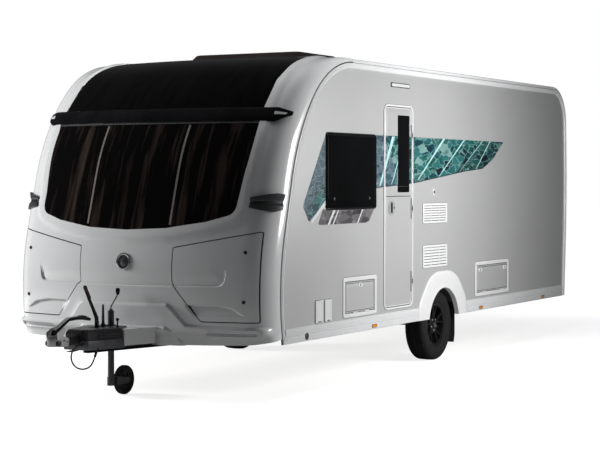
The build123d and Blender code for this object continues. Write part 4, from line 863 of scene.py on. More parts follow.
# ------------------------------------------------------------------ side windows
# Hinged double-glazed acrylic panes, black all over from outside, with a moulded step round
# the border, a hinge rail along the top edge and a small latch fitting low down.
acrylic = surface("black_acrylic_pane", (0.004, 0.0042, 0.0045), 0.07, shine=0.15, scale=2.2,
    mottle=0.25, bump=0.015, rough_range=0.03, grain=14)
lounge_window = (0.685, 1.557, 1.37, 1.969)
window_places = [("lounge_window", 1, lounge_window), ("lounge_window", -1, lounge_window),
    ("kitchen_window", -1, (2.66, 3.46, 1.45, 1.969)),
    ("bed_window", -1, (4.38, 5.2, 1.37, 1.969))]
window_radius = 0.03


def round_rectangle(low_a, high_a, low_b, high_b, radius):
    """Loop of (a, b) points round a rectangle with round corners."""
    loop = []
    for a, b, start in ((high_a - radius, high_b - radius, 0), (low_a + radius, high_b - radius,
            90), (low_a + radius, low_b + radius, 180), (high_a - radius, low_b + radius, 270)):
        for turn in range(0, 91, 15):
            angle = math.radians(start + turn)
            loop.append((a + radius * math.cos(angle), b + radius * math.sin(angle)))
    return loop


def moulded(name, place, radius, profile, material, side=1, body="caravan", closed=False,
        base=wall_x):
    """Wall fitting: (inset, lift) pairs carried round a rectangle on a side wall.

    place is (front, rear, low, high), the first two as distances behind the seam.
    """
    front, rear, low, high = place
    rings = []
    for inset, lift in profile:
        loop = round_rectangle(behind(front + inset), behind(rear - inset), low + inset,
            high - inset, max(0.0015, radius - inset))
        rings.append([(side * (base + lift), y, z) for y, z in loop])
    return piece(name, *ringed(rings, closed), material, body)


for label, side, place in window_places:
    name = f"{label}_{'near' if side > 0 else 'off'}"
    pane = moulded(f"{name}_pane", place, window_radius, [(0.024, -0.03), (0.024, 0), (0, 0.0005),
        (0, 0.0065), (0.0025, 0.0092), (0.03, 0.01), (0.0315, 0.0082), (0.0345, 0.0082),
        (0.036, 0.0098), (0.075, 0.0104)], acrylic, side)
    if side > 0:
        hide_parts("lounge_window_near")
    elif label == "kitchen_window":
        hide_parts("windows_off")
    front, rear, low, high = place
    moulded(f"{name}_rail", (front + 0.012, rear - 0.012, high - 0.021, high - 0.006), 0.006,
        [(0, 0.0085), (0, 0.0108), (0.0015, 0.0118), (0.003, 0.0121)], black_gloss, side)
    moulded(f"{name}_foot", (front + 0.012, rear - 0.012, low + 0.006, low + 0.016), 0.004,
        [(0, 0.0085), (0, 0.0104), (0.0012, 0.0112)], black_gloss, side)
    for spot, place_y in (("front", front + 0.13), ("rear", rear - 0.13)):
        turned(f"{name}_latch_{spot}", [(0, 0.0135), (0.009, 0.0133), (0.012, 0.012),
            (0.013, 0.0098), (0.013, 0.006), (0, 0.006)], (side * wall_x, behind(place_y),
            low + 0.085), (side, 0, 0), black_matt, segments=24)
for label, side, place in window_places:
    moulded(f"{label}_bedding_{'near' if side > 0 else 'off'}", place, window_radius + 0.003,
        [(-0.0035, 0), (-0.0035, 0.0022), (-0.001, 0.0032), (0.004, 0.0032), (0.004, 0)],
        seal_rubber, side, closed=True)

# ------------------------------------------------------------------ entrance door
# One-piece insulated door in the wall's silver, with a white bead round its edge, a tall
# black window, a dark break line under it, and a black handle with a lock on a grey plate.
door_frame = (1.72, 2.256, 0.542, 2.211)
door_leaf = (1.725, 2.251, 0.547, 2.206)
door_pane = (1.972, 2.197, 1.497, 2.143)
door_break = 1.462
bead_white = surface("white_moulded_plastic", (0.76, 0.76, 0.76), 0.3, scale=18, mottle=0.015,
    bump=0.03, coat=0.2, rough_range=0.05)
leaf = moulded("entrance_door_leaf", door_leaf, 0.05, [(0, -0.028), (0, 0), (0.002, 0.0016),
    (0.012, 0.0016), (0.014, -0.0008), (0.017, -0.0008), (0.02, 0.0004), (0.06, 0.0004)], silver,
    body="entrance_door")
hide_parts("entrance_door")
moulded("door_surround_bead", door_frame, 0.055, [(-0.0165, 0), (-0.0165, 0.0042),
    (-0.0145, 0.0058), (-0.0035, 0.0058), (-0.0012, 0.0044), (-0.0012, 0)], bead_white,
    closed=True)
moulded("door_surround_sealant", door_frame, 0.055, [(-0.019, 0), (-0.019, 0.0012),
    (-0.016, 0.0016), (-0.016, 0)], seal_rubber, closed=True)
moulded("door_leaf_bead", door_leaf, 0.05, [(0.0008, 0.0012), (0.0014, 0.0032), (0.0045, 0.0042),
    (0.0076, 0.0032), (0.0082, 0.0012)], bead_white, body="entrance_door", closed=True)
moulded("door_weather_seal", door_leaf, 0.05, [(-0.0022, -0.012), (-0.0022, -0.003), (0, -0.0016),
    (0.0022, -0.003), (0.0022, -0.012)], seal_rubber, body="entrance_door", closed=True)
glass = moulded("door_window_pane", door_pane, 0.012, [(0.01, -0.022), (0.01, 0), (0, 0.0004),
    (0, 0.003), (0.0015, 0.0045), (0.011, 0.0048), (0.012, 0.0036), (0.0145, 0.0036),
    (0.0155, 0.0046), (0.03, 0.0049)], acrylic, body="entrance_door")
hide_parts("door_window")
# The thin bright steel strip across the door pane is a painted reflection.
moulded("door_window_line", (1.99, 2.179, 1.545, 1.549), 0.0015, [(0, 0.0046), (0, 0.0054),
    (0.0005, 0.0057)], steel_bright, body="entrance_door")
for label, low, high in (("upper", door_break + 0.006, 2.176), ("lower", 0.577, door_break)):
    moulded(f"door_{label}_field", (1.755, 2.221, low, high), 0.03, [(0, 0.0002), (0.0012, 0.0014),
        (0.0032, 0.0014), (0.0044, 0.0002)], silver, body="entrance_door", closed=True)
moulded("door_break_line", (1.748, 2.228, door_break, door_break + 0.006), 0.002,
    [(0, 0.0002), (0.0004, 0.0012), (0.0012, 0.0014)], disc_dark, body="entrance_door")
plate_grey = surface("lock_plate_grey", (0.36, 0.365, 0.37), 0.3, scale=40, mottle=0.08, bump=0.05)
moulded("door_handle_plate", (1.792, 1.921, 1.312, 1.43), 0.055,
    [(0, 0), (0, 0.0032), (0.002, 0.0052), (0.01, 0.0062), (0.016, 0.004), (0.026, 0.003)],
    plate_grey, body="entrance_door")
moulded("door_handle_pull", (1.838, 1.862, 1.326, 1.416), 0.012, [(0, 0.0025), (0, 0.0085),
    (0.002, 0.0108), (0.006, 0.0112)], black_matt, body="entrance_door")
turned("door_lock_barrel", [(0, 0.0092), (0.0028, 0.0092), (0.0034, 0.0078), (0.0085, 0.0082),
    (0.0098, 0.0066), (0.0098, 0.002), (0, 0.002)], (wall_x, behind(1.893), 1.371), (1, 0, 0),
    steel_bright, "entrance_door", 28)
for height in (0.74, 1.36, 1.98):
    turned(f"door_hinge_barrel_{int(height * 100)}",
        both_ways([(0, -0.0195), (0.0044, -0.0195), (0.005, -0.0185)]),
        (wall_x + 0.006, behind(2.2535), height), (0, 0, 1), black_matt, "entrance_door", 20)
    moulded(f"door_hinge_cover_{int(height * 100)}", (2.2315, 2.2425, height - 0.088,
        height + 0.088), 0.004, [(0, 0), (0, 0.0028), (0.0016, 0.0044), (0.004, 0.0048)],
        disc_dark, body="entrance_door")
moulded("door_retainer_base", (2.682, 2.714, 1.468, 1.524), 0.008,
    [(0, 0), (0, 0.0055), (0.0015, 0.0072), (0.005, 0.0075)], bead_white)
moulded("door_retainer_clip", (2.69, 2.706, 1.484, 1.508), 0.004, [(0, 0.005), (0, 0.0115),
    (0.002, 0.0132), (0.004, 0.0134)], black_matt)

# ------------------------------------------------------------------ outside hatches
# White moulded frames screwed and bedded to the wall round insulated panels in the wall's
# silver, hinged below (the service hatch at its front edge), with grey turn-catches.
hatch_places = [("front_hatch", 1, (0.975, 1.572, 0.512, 0.832), [(0.5, 0.88)]),
    ("rear_hatch", 1, (3.638, 4.466, 0.519, 0.841), [(0.1, 0.84), (0.9, 0.84)]),
    ("cassette_hatch", -1, (5.3, 5.66, 0.54, 0.9), [(0.84, 0.5)])]
hatch_bar = 0.034
hatch_radius = 0.028
hatch_gap = 0.005
hatch_lift = 0.004
for label, side, place, catches in hatch_places:
    front, rear, low, high = place
    ring = moulded(f"{label}_frame_ring", place, hatch_radius,
        [(0, 0), (0, 0.003), (0.0025, 0.0052), (0.009, 0.0066), (0.02, 0.007), (0.029, 0.0058),
        (0.0335, 0.004), (hatch_bar, 0.001), (hatch_bar, -0.031), (0.018, -0.031), (0.018, 0)],
        bead_white, side, closed=True)
    if label == "front_hatch":
        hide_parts("hatch_frames")
    moulded(f"{label}_bedding", place, hatch_radius, [(-0.0025, 0), (-0.0025, 0.0012),
        (0.001, 0.0016), (0.001, 0)], seal_rubber, side, closed=True)
    inset = hatch_bar + hatch_gap
    hole = (front + inset, rear - inset, low + inset, high - inset)
    panel = moulded(f"{label}_panel", hole, 0.014, [(0, -0.0195), (0, 0.0012),
        (0.0022, hatch_lift), (0.0075, hatch_lift), (0.0095, 0.0024), (0.0145, 0.0024),
        (0.0165, 0.0036), (0.05, 0.0036)], silver, side, f"{label}_door")
    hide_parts(f"{label}_door")
    # The dark ring laid in each panel's pressed groove is painted shade of the groove.
    moulded(f"{label}_groove_shade", hole, 0.014, [(0.0095, 0.002), (0.01, 0.0027), (0.014, 0.0027),
        (0.0145, 0.002)], disc_dark, side, f"{label}_door", closed=True)
    moulded(f"{label}_seal", hole, 0.014, [(-0.0022, -0.014), (-0.0022, -0.004), (0, -0.0026),
        (0.002, -0.004), (0.002, -0.014)], seal_rubber, side, f"{label}_door", closed=True)
    for index, (along, up) in enumerate(catches, 1):
        catch_y = hole[0] + (hole[1] - hole[0]) * along
        catch_z = hole[2] + (hole[3] - hole[2]) * up
        moulded(f"{label}_catch_{index}", (catch_y - 0.034, catch_y + 0.034, catch_z - 0.017,
            catch_z + 0.017), 0.0165, [(0, 0.002), (0, 0.0062), (0.002, 0.0082), (0.008, 0.0088),
            (0.011, 0.007), (0.014, 0.0066)], bead_white, side, f"{label}_door")
        moulded(f"{label}_turn_{index}", (catch_y - 0.004, catch_y + 0.004, catch_z - 0.013,
            catch_z + 0.013), 0.0038, [(0, 0.005), (0, 0.0092), (0.001, 0.0104), (0.003, 0.0106)],
            disc_dark, side, f"{label}_door")
    if side > 0:
        spots = [(behind(y), hole[2] - 0.0025) for y in (hole[0] - hatch_gap + 0.16,
            hole[1] + hatch_gap - 0.16)]
        along = (0, 1, 0)
    else:
        spots = [(behind(hole[0] - 0.0025), z) for z in (hole[2] - hatch_gap + 0.085,
            hole[3] + hatch_gap - 0.085)]
        along = (0, 0, 1)
    for number, (y, z) in enumerate(spots, 1):
        turned(f"{label}_hinge_{number}", both_ways([(0, -0.04), (0.0045, -0.04), (0.005, -0.039),
            (0.005, -0.0205), (0.0043, -0.02), (0.005, -0.0195)]),
            (side * (wall_x + hatch_lift + 0.006), y, z), along, bead_white, segments=20)

# ------------------------------------------------------------------ vents and service covers
# White refrigerator vents with sloping louvres over a near-black sheet that is painted shade
# of the opening behind them, two plain lift-up covers for mains and water, and the slim awning
# lamp under the roof rail.


def joined(shapes):
    """Vertices and faces of several shapes as those of one."""
    verts, faces = [], []
    for more_verts, more_faces in shapes:
        faces += [tuple(len(verts) + index for index in face) for face in more_faces]
        verts += more_verts
    return verts, faces


def along_wall(section, start, stop):
    """Bar of an (x, height) section between two distances behind the seam."""
    return ringed([[(x, behind(y), z) for x, z in section] for y in (start, stop)])


slat = [(0.0012, 0.42), (0.004, 0.4), (0.0092, -0.18), (0.0092, -0.3), (0.0075, -0.34),
    (0.0012, 0.18)]
cavity_painted_shade = surface("vent_cavity_painted_shade", (0.05, 0.05, 0.052), 0.7, mottle=0.2, bump=0.2)
for index, place in enumerate([(2.471, 2.982, 1.224, 1.398), (2.473, 2.984, 0.838, 1.033)], 1):
    front, rear, low, high = place
    ring = moulded(f"vent_{index}_frame", place, 0.014, [(0, 0), (0, 0.0055), (0.0025, 0.0085),
        (0.006, 0.0096), (0.016, 0.0096), (0.019, 0.008), (0.02, 0.0012), (0.02, 0)], bead_white,
        closed=True)
    if index == 1:
        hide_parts("fridge_vents")
    # The near-black sheet behind the louvres is painted shade of the vent opening.
    moulded(f"vent_{index}_cavity", (front + 0.016, rear - 0.016, low + 0.016, high - 0.016),
        0.004, [(0, 0.0002), (0.001, 0.0012)], cavity_painted_shade)
    rows = 6
    pitch = (high - low - 0.044) / rows
    bars = []
    for row in range(rows):
        level = low + 0.022 + pitch * (row + 0.5)
        section = [(wall_x + lift, level + pitch * share) for lift, share in slat]
        bars.append(along_wall(section, front + 0.018, rear - 0.018))
    post = [(wall_x + lift, z) for lift, z in ((0.001, low + 0.02), (0.0086, low + 0.02),
        (0.0086, high - 0.02), (0.001, high - 0.02))]
    for y in (front + (rear - front) / 3, rear - (rear - front) / 3):
        bars.append(along_wall(post, y - 0.003, y + 0.003))
    piece(f"vent_{index}_louvres", *joined(bars), bead_white, soft=25)
    moulded(f"vent_{index}_bedding", place, 0.014, [(-0.0022, 0), (-0.0022, 0.0012),
        (0.001, 0.0015), (0.001, 0)], seal_rubber, closed=True)
for index, place in enumerate([(0.514, 0.639, 0.509, 0.681), (0.664, 0.778, 0.509, 0.681)], 1):
    cover = moulded(f"service_cover_{index}", place, 0.012, [(0, 0.0012), (0, 0.0058),
        (0.0022, 0.0082), (0.006, 0.009), (0.018, 0.009), (0.021, 0.0076), (0.024, 0.0072),
        (0.03, 0.0078)], bead_white)
    if index == 1:
        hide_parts("service_covers")
    # The thin dark ring round each cover is painted shade of the gap at its edge.
    moulded(f"service_cover_gap_shade_{index}", place, 0.012, [(-0.0035, 0), (-0.0035, 0.0016),
        (0.001, 0.0022)], disc_dark)
    front, rear, low, high = place
    moulded(f"service_cover_grip_{index}", (front + 0.035, rear - 0.035, low + 0.006, low + 0.013),
        0.003, [(0, 0.0085), (0, 0.01), (0.001, 0.0107)], disc_dark)
    turned(f"service_cover_hinge_{index}", both_ways([(0, -0.04), (0.0042, -0.039)]),
        (wall_x + 0.0062, behind((front + rear) / 2), high - 0.006), (0, 1, 0), bead_white,
        segments=18)
light_place = (1.837, 2.195, 2.372, 2.41)
body_bar = moulded("awning_light_body", light_place, 0.01, [(0, 0), (0, 0.007), (0.002, 0.0092),
    (0.005, 0.01), (0.006, 0.0086)], handle_grey)
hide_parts("awning_light")
moulded("awning_light_lens", (1.845, 2.187, 2.3785, 2.4035), 0.007,
    [(0, 0.008), (0, 0.01), (0.003, 0.0114), (0.006, 0.0118)], lens_clear)

# ------------------------------------------------------------------ skirts
# Extruded white aluminium skirts below the walls, with a bead under the wall, a shallow
# groove and a turned-in foot, amber side reflectors and a black socket near the front.
skirt_white = surface("skirt_white_paint", (0.7, 0.705, 0.71), 0.3, scale=8, mottle=0.02,
    bump=0.02, coat=0.3, rough_range=0.05, stretch=(1, 0.2, 1))
amber = surface("amber_reflector", (0.75, 0.26, 0.02), 0.2, scale=240, mottle=0.25, bump=0.5,
    pattern="CRYSTAL", coat=0.6)
skirt_profile = [(1.1395, 0.5), (1.1425, 0.5), (1.1448, 0.4975), (1.1448, 0.4925), (1.1435, 0.49),
    (1.147, 0.486), (1.1492, 0.476), (1.15, 0.46), (1.15, 0.444), (1.1485, 0.4415),
    (1.1468, 0.4405), (1.1468, 0.4365), (1.1485, 0.4355), (1.15, 0.433), (1.15, 0.396),
    (1.148, 0.39), (1.144, 0.388), (1.137, 0.3882), (1.137, 0.3905), (1.1425, 0.3912),
    (1.144, 0.396), (1.144, 0.486), (1.1395, 0.49)]
skirt_runs = [(0.05, 2.393), (3.437, 5.96)]
for side, end in sides:
    for index, (start, stop) in enumerate(skirt_runs, 1):
        rings = [[(side * x, behind(y), z) for x, z in skirt_profile] for y in np.linspace(start,
            stop, 5)]
        made = piece(f"skirt_{end}_{index}", *ringed(rings), skirt_white, soft=28)
        if side > 0 and index == 1:
            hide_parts("skirts")
    for index, distance in enumerate((1.519, 3.756, 5.386), 1):
        moulded(f"side_reflector_base_{end}_{index}", (distance - 0.048, distance + 0.048, 0.4005,
            0.4295), 0.012, [(0, 0), (0, 0.0018), (0.001, 0.0026)], disc_dark, side, base=1.1495)
        moulded(f"side_reflector_{end}_{index}", (distance - 0.043, distance + 0.043, 0.4045,
            0.4255), 0.009, [(0, 0.001), (0, 0.0036), (0.0018, 0.0048), (0.005, 0.0052)], amber,
            side, base=1.1495)
    turned(f"skirt_socket_{end}", [(0, 0.0036), (0.012, 0.0036), (0.015, 0.0046), (0.024, 0.0046),
        (0.027, 0.003), (0.0275, 0), (0.0275, -0.004)], (side * 1.15, behind(0.368), 0.425),
        (side, 0, 0), black_matt, segments=32)

# ------------------------------------------------------------------ wheel spats
# White moulded arches bonded over the wall's cut-out, with flared shoulders that run down
# into the skirts and a rolled lip round the wheel.
wheel_place = (0.9925, 0.51, 0.3143)
arch_radius = 0.3313
spat_outline = [(-0.527, wall_foot), (-0.527, 0.515), (-0.265, 0.796), (0.265, 0.796),
    (0.517, 0.515), (0.517, wall_foot)]
spat_corners = [0.24, 0.4, 0.4, 0.24]
spat_profile = [(0, -0.03, 0), (0, 0.0105, 0), (0, 0.0135, 0.003), (0, 0.0148, 0.008),
    (0, 0.0144, 0.016), (0, 0.0125, 0.022), (0, 0.0108, 0.028), (0, 0.0112, 0.045),
    (0.55, 0.0116, 0), (1.0, 0.0112, -0.03), (1.0, 0.01, -0.014), (1.0, 0.0072, -0.005),
    (1.0, 0.003, -0.001), (1.0, 0, 0)]
outline_path = rounded_path([(y, z, 0) for y, z in spat_outline], spat_corners, step=0.012)
foot_angle = math.asin((wall_foot - wheel_place[2]) / arch_radius)
arch_steps = 96


def spat_reach(angle):
    """Distance from the wheel centre to the spat's outline along a direction."""
    reaches = []
    along = Vector((math.cos(angle), math.sin(angle)))
    points = [Vector((p.x, p.y - wheel_place[2])) for p in outline_path]
    for first, second in zip(points, points[1:]):
        step = second - first
        cross = along.x * step.y - along.y * step.x
        if abs(cross) < 1e-9:
            continue
        reach = (first.x * step.y - first.y * step.x) / cross
        share = (first.x * along.y - first.y * along.x) / cross
        if reach > 0 and -1e-6 <= share <= 1 + 1e-6:
            reaches.append(reach)
    return min(reaches, default=None)


for side, end in sides:
    rings, outer = [], None
    for step in range(arch_steps + 1):
        angle = math.pi - foot_angle - (math.pi - 2 * foot_angle) * step / arch_steps
        outer = spat_reach(angle) or outer
        ring = []
        for share, lift, more in spat_profile:
            reach = arch_radius + (outer - arch_radius) * share + more
            y = wheel_place[1] + reach * math.cos(angle)
            z = wheel_place[2] + reach * math.sin(angle)
            if step in (0, arch_steps):
                z = wall_foot
            ring.append((side * (wall_x + lift), y, max(z, wall_foot)))
        rings.append(ring)
    spat = piece(f"wheel_spat_{end}", *ringed(rings), bead_white, soft=40)
    if side > 0:
        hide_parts("wheel_spats")

# ------------------------------------------------------------------ wheels
# Road tyres with four ring grooves, cross sipes and ribbed sidewalls, on black painted
# alloys of five twin spokes with a small grey cap, five bolts and a steel brake drum behind.
tyre_rubber = surface("tyre_rubber", (0.012, 0.012, 0.0125), 0.72, shine=0.2, scale=38,
    mottle=0.25, bump=0.25, rough_range=0.1, grain=420)
rim_paint = surface("rim_black_paint", (0.008, 0.008, 0.009), 0.3, shine=0.2, scale=14,
    mottle=0.15, bump=0.02, rough_range=0.08)
tyre_half_profile = [(0.168, 0.07), (0.1778, 0.0745), (0.19, 0.08), (0.196, 0.085),
    (0.205, 0.0885), (0.222, 0.0935), (0.238, 0.0965), (0.252, 0.0972), (0.254, 0.0962),
    (0.257, 0.0962), (0.259, 0.097), (0.272, 0.0955), (0.284, 0.0925), (0.295, 0.087),
    (0.303, 0.08), (0.3085, 0.0725)]
tread_across = [(0.3118, 0.064), (0.3128, 0.05), (0.305, 0.049), (0.305, 0.043), (0.3135, 0.042),
    (0.314, 0.02), (0.306, 0.019), (0.306, 0.013), (0.3143, 0.012), (0.3143, 0)]
half = tyre_half_profile + tread_across
tyre_section = half + [(radius, -along) for radius, along in reversed(half[:-1])]
tyre_steps = 72


def tyre(name, centre, side, body):
    """Tyre whose tread is cut by sipes that slant the other way on each half."""
    verts, faces = [], []
    size = len(tyre_section)
    for block in range(tyre_steps):
        for part, cut in ((0, 0), (0.8, 0), (0.81, 0.0062), (0.99, 0.0062)):
            for radius, along in tyre_section:
                slant = abs(along) * 0.9
                angle = 2 * math.pi * (block + part + slant * 5) / tyre_steps
                if radius > 0.307 and abs(along) > 0.0125:
                    radius = radius - cut
                elif 0.295 <= radius <= 0.307 and abs(along) > 0.07:
                    radius = radius - cut * 0.5
                verts.append((centre[0] + side * along, centre[1] + radius * math.cos(angle),
                    centre[2] + radius * math.sin(angle)))
    rings = tyre_steps * 4
    for ring in range(rings):
        after = (ring + 1) % rings
        for index in range(size - 1):
            faces.append((ring * size + index, after * size + index, after * size + index + 1,
                ring * size + index + 1))
    made = piece(name, verts, faces, tyre_rubber, body, 30)
    return made


rim_barrel = [(0.17, 0.07), (0.1905, 0.0715), (0.193, 0.0735), (0.193, 0.079), (0.1905, 0.0805),
    (0.1868, 0.08), (0.18, 0.077), (0.1745, 0.0735), (0.1705, 0.064), (0.1685, 0.035),
    (0.16, 0.01), (0.158, -0.03), (0.166, -0.06), (0.174, -0.074), (0.187, -0.079),
    (0.1905, -0.078), (0.1905, -0.072), (0.174, -0.066)]
hub_profile = [(0, 0.064), (0.022, 0.064), (0.0255, 0.0625), (0.027, 0.059), (0.0275, 0.056),
    (0.03, 0.055), (0.052, 0.056), (0.064, 0.053), (0.072, 0.046), (0.074, 0.03), (0.074, 0.01),
    (0, 0.01)]
drum_profile = [(0, -0.052), (0.105, -0.052), (0.118, -0.047), (0.125, -0.036), (0.125, 0.000),
    (0.118, 0.006), (0.06, 0.009), (0, 0.009)]
spoke_stations = [(0.06, 0.013, 0.03, 0.053), (0.09, 0.01, 0.032, 0.056),
    (0.125, 0.0085, 0.038, 0.06), (0.155, 0.0088, 0.045, 0.065), (0.176, 0.012, 0.05, 0.069)]
for side, end in sides:
    body = f"wheel_{end}"
    centre = (side * wheel_place[0], wheel_place[1], wheel_place[2])
    rubber = tyre(f"tyre_rubber_{end}", centre, side, body)
    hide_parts(f"tyre_{end}")
    barrel = turned(f"rim_barrel_{end}", rim_barrel, centre, (side, 0, 0), rim_paint, body, 80, 30)
    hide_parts(f"wheel_rim_{end}")
    turned(f"rim_hub_{end}", hub_profile, centre, (side, 0, 0), rim_paint, body, 48, 30)
    turned(f"rim_cap_{end}", [(0, 0.0668), (0.016, 0.0664), (0.0215, 0.065), (0.0235, 0.0636),
        (0.0235, 0.06)], centre, (side, 0, 0), handle_grey, body, 36, 30)
    # The brake drum takes the near-black painted shade of the underside.
    turned(f"brake_drum_{end}", drum_profile, centre, (side, 0, 0), painted_shade_steel, body, 48, 30)
    spokes = []
    for turn in range(5):
        for hand in (1, -1):
            rings = []
            for radius, half_wide, back, face in spoke_stations:
                spread = 0.1 + 0.165 * (radius - 0.06) / 0.116
                angle = math.radians(90) + turn * 2 * math.pi / 5 + hand * spread
                out = Vector((0, math.cos(angle), math.sin(angle)))
                across = Vector((0, -math.sin(angle), math.cos(angle)))
                section = [(-1.0, back), (1.0, back), (1.0, face - 0.006), (0.62, face),
                    (-0.62, face), (-1.0, face - 0.006)]
                rings.append([Vector(centre) + out * radius + across * half_wide * shift
                    + Vector((side * level, 0, 0)) for shift, level in section])
            spokes.append(ringed(rings))
    piece(f"rim_spokes_{end}", *joined(spokes), rim_paint, body, 28)
    for turn in range(5):
        angle = math.radians(54) + turn * 2 * math.pi / 5
        spot = Vector(centre) + Vector((0, math.cos(angle), math.sin(angle))) * 0.05
        turned(f"wheel_bolt_{end}_{turn + 1}", [(0, 0.06), (0.0055, 0.06), (0.0075, 0.0585),
            (0.008, 0.056), (0.0115, 0.0545), (0.012, 0.05)], spot, (side, 0, 0), steel_bright,
            body, 6, 20)
    turned(f"tyre_valve_{end}", [(0, 0.08), (0.0022, 0.0798), (0.0026, 0.07), (0.0042, 0.06),
        (0.0042, 0.05)], Vector(centre) + Vector((0, 0.158, 0.012)), (side, 0, 0), black_matt,
        body, 14)

# Rubber flaps with four ribs hang from the floor behind the wheels.
flap_rubber = surface("mud_flap_rubber", (0.02, 0.02, 0.021), 0.65, scale=20, mottle=0.3, bump=0.3)
flap_y = wheel_place[1] + 0.372
# Each level of a flap: its height, how far it sways back, and its two sides.
flap_levels = [(0.4995, 0, 0.905, 1.085), (0.4, 0, 0.905, 1.085), (0.3, 0.0001, 0.905, 1.085),
    (0.2, 0.0004, 0.905, 1.085), (0.1275, 0.0008, 0.913, 1.077)]
for side, end in sides:
    rings = []
    for level, sway, low_x, high_x in flap_levels:
        section = [(low_x, 0), (high_x, 0), (high_x, 0.0052), (low_x, 0.0052)]
        rings.append([(side * x, flap_y + y + sway, level) for x, y in section])
    flap = piece(f"mud_flap_{end}", *ringed(rings), flap_rubber, soft=30)
    if side > 0:
        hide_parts("mud_flaps")
    for row in range(4):
        level = 0.155 + 0.028 * row
        rib = []
        for foot, face in ((0, 0.002), (0.01, 0.008)):
            edge = [(0.93, 0, foot), (1.06, 0, foot), (1.06, -0.0015, face), (0.93, -0.0015, face)]
            rib.append([(side * x, flap_y - 0.0005 + y, level + z) for x, y, z in edge])
        piece(f"mud_flap_rib_{end}_{row + 1}", *ringed(rib), flap_rubber)

# ------------------------------------------------------------------ wall graphics
# Cut vinyl on the silver wall and door: teal and blue-grey print of veined patches in slanting
# fields with pale stripes across them, narrowing to a point behind the door.


def print_vinyl(name, stops, scale, vein):
    """Printed vinyl: flowing patches of colour with lighter veins and a satin film."""
    material, tree, shader, place = new_material(name)
    lean = add_node(tree, "Mapping", {"Vector": place, "Rotation": (0.9, 0, 0),
        "Scale": (1.0, 1.0, 2.6)})["Vector"]
    flow = add_node(tree, "TexNoise", {"Vector": lean, "Scale": scale, "Detail": 4.0,
        "Distortion": 1.2})
    bend = add_node(tree, "VectorMath", {0: flow["Color"], 1: (0.22, 0.22, 0.22), 2: lean},
        operation="MULTIPLY_ADD")
    cells = {"Vector": bend["Vector"], "Scale": scale * 1.7}
    patch = add_node(tree, "TexVoronoi", cells)
    shade = add_node(tree, "Mix", {0: 0.62, 2: flow["Fac"], 3: patch["Color"]})
    edge = add_node(tree, "TexVoronoi", cells, feature="DISTANCE_TO_EDGE")
    thin = add_node(tree, "MapRange", {"Value": edge["Distance"], "From Max": 0.05, "To Min": 0.75,
        "To Max": 0.0})
    colour = add_ramp(tree, stops, shade[0], "EASE")
    veined = tree.nodes.new("ShaderNodeMix")
    veined.data_type = "RGBA"
    feed(tree, veined, {0: thin["Result"], 6: colour, 7: (*vein, 1)})
    film = add_node(tree, "Bump", {"Height": flow["Fac"], "Strength": 0.02, "Distance": 0.001})
    feed(tree, shader, {"Base Color": veined.outputs[2], "Normal": film["Normal"],
        "Roughness": 0.35})
    return material


teal_print = print_vinyl("teal_leaf_print", [(0.24, (0.003, 0.014, 0.022)),
    (0.38, (0.007, 0.059, 0.07)), (0.49, (0.025, 0.14, 0.14)), (0.6, (0.008, 0.077, 0.063)),
    (0.76, (0.182, 0.322, 0.308))], 3.6, (0.266, 0.476, 0.462))
deep_print = print_vinyl("deep_teal_print", [(0.24, (0.002, 0.008, 0.013)),
    (0.4, (0.004, 0.032, 0.038)), (0.52, (0.014, 0.084, 0.084)), (0.64, (0.006, 0.042, 0.035)),
    (0.8, (0.154, 0.294, 0.266))], 4.2, (0.231, 0.42, 0.399))
slate_print = print_vinyl("blue_slate_print", [(0.24, (0.015, 0.035, 0.055)),
    (0.38, (0.042, 0.084, 0.112)), (0.5, (0.084, 0.14, 0.175)), (0.62, (0.035, 0.087, 0.108)),
    (0.78, (0.224, 0.28, 0.308))], 4.6, (0.294, 0.392, 0.42))
umber_print = print_vinyl("grey_umber_print", [(0.24, (0.022, 0.019, 0.023)),
    (0.42, (0.055, 0.049, 0.055)), (0.56, (0.11, 0.1, 0.105)), (0.76, (0.2, 0.19, 0.195))], 4.0,
    (0.26, 0.24, 0.26))
turquoise_print = surface("pale_turquoise_vinyl", (0.42, 0.69, 0.68), 0.35, scale=30, mottle=0.08,
    bump=0.02)
pale_print = surface("pale_vinyl", (0.74, 0.755, 0.76), 0.35, scale=30, mottle=0.03, bump=0.02)
ink_print = surface("dark_vinyl_line", (0.03, 0.05, 0.055), 0.35, scale=30, mottle=0.15, bump=0.02)


def cut_at(loop, edge, keep_rear):
    """Part of an outline on one side of an upright line."""
    kept = []
    for (y0, z0), (y1, z1) in zip(loop, loop[1:] + loop[:1]):
        first, second = (y0 >= edge) == keep_rear, (y1 >= edge) == keep_rear
        if first:
            kept.append((y0, z0))
        if first != second:
            share = (edge - y0) / (y1 - y0)
            kept.append((edge, z0 + (z1 - z0) * share))
    return kept


def vinyl(name, loop, material, lift, body="caravan"):
    """Thin cut film on the near wall; none for an outline that is cut away."""
    if len(loop) >= 3:
        rings = [[(wall_x + level, behind(y), z) for y, z in loop] for level in (lift - 0.0003,
            lift)]
        piece(name, *ringed(rings), material, body, 20)


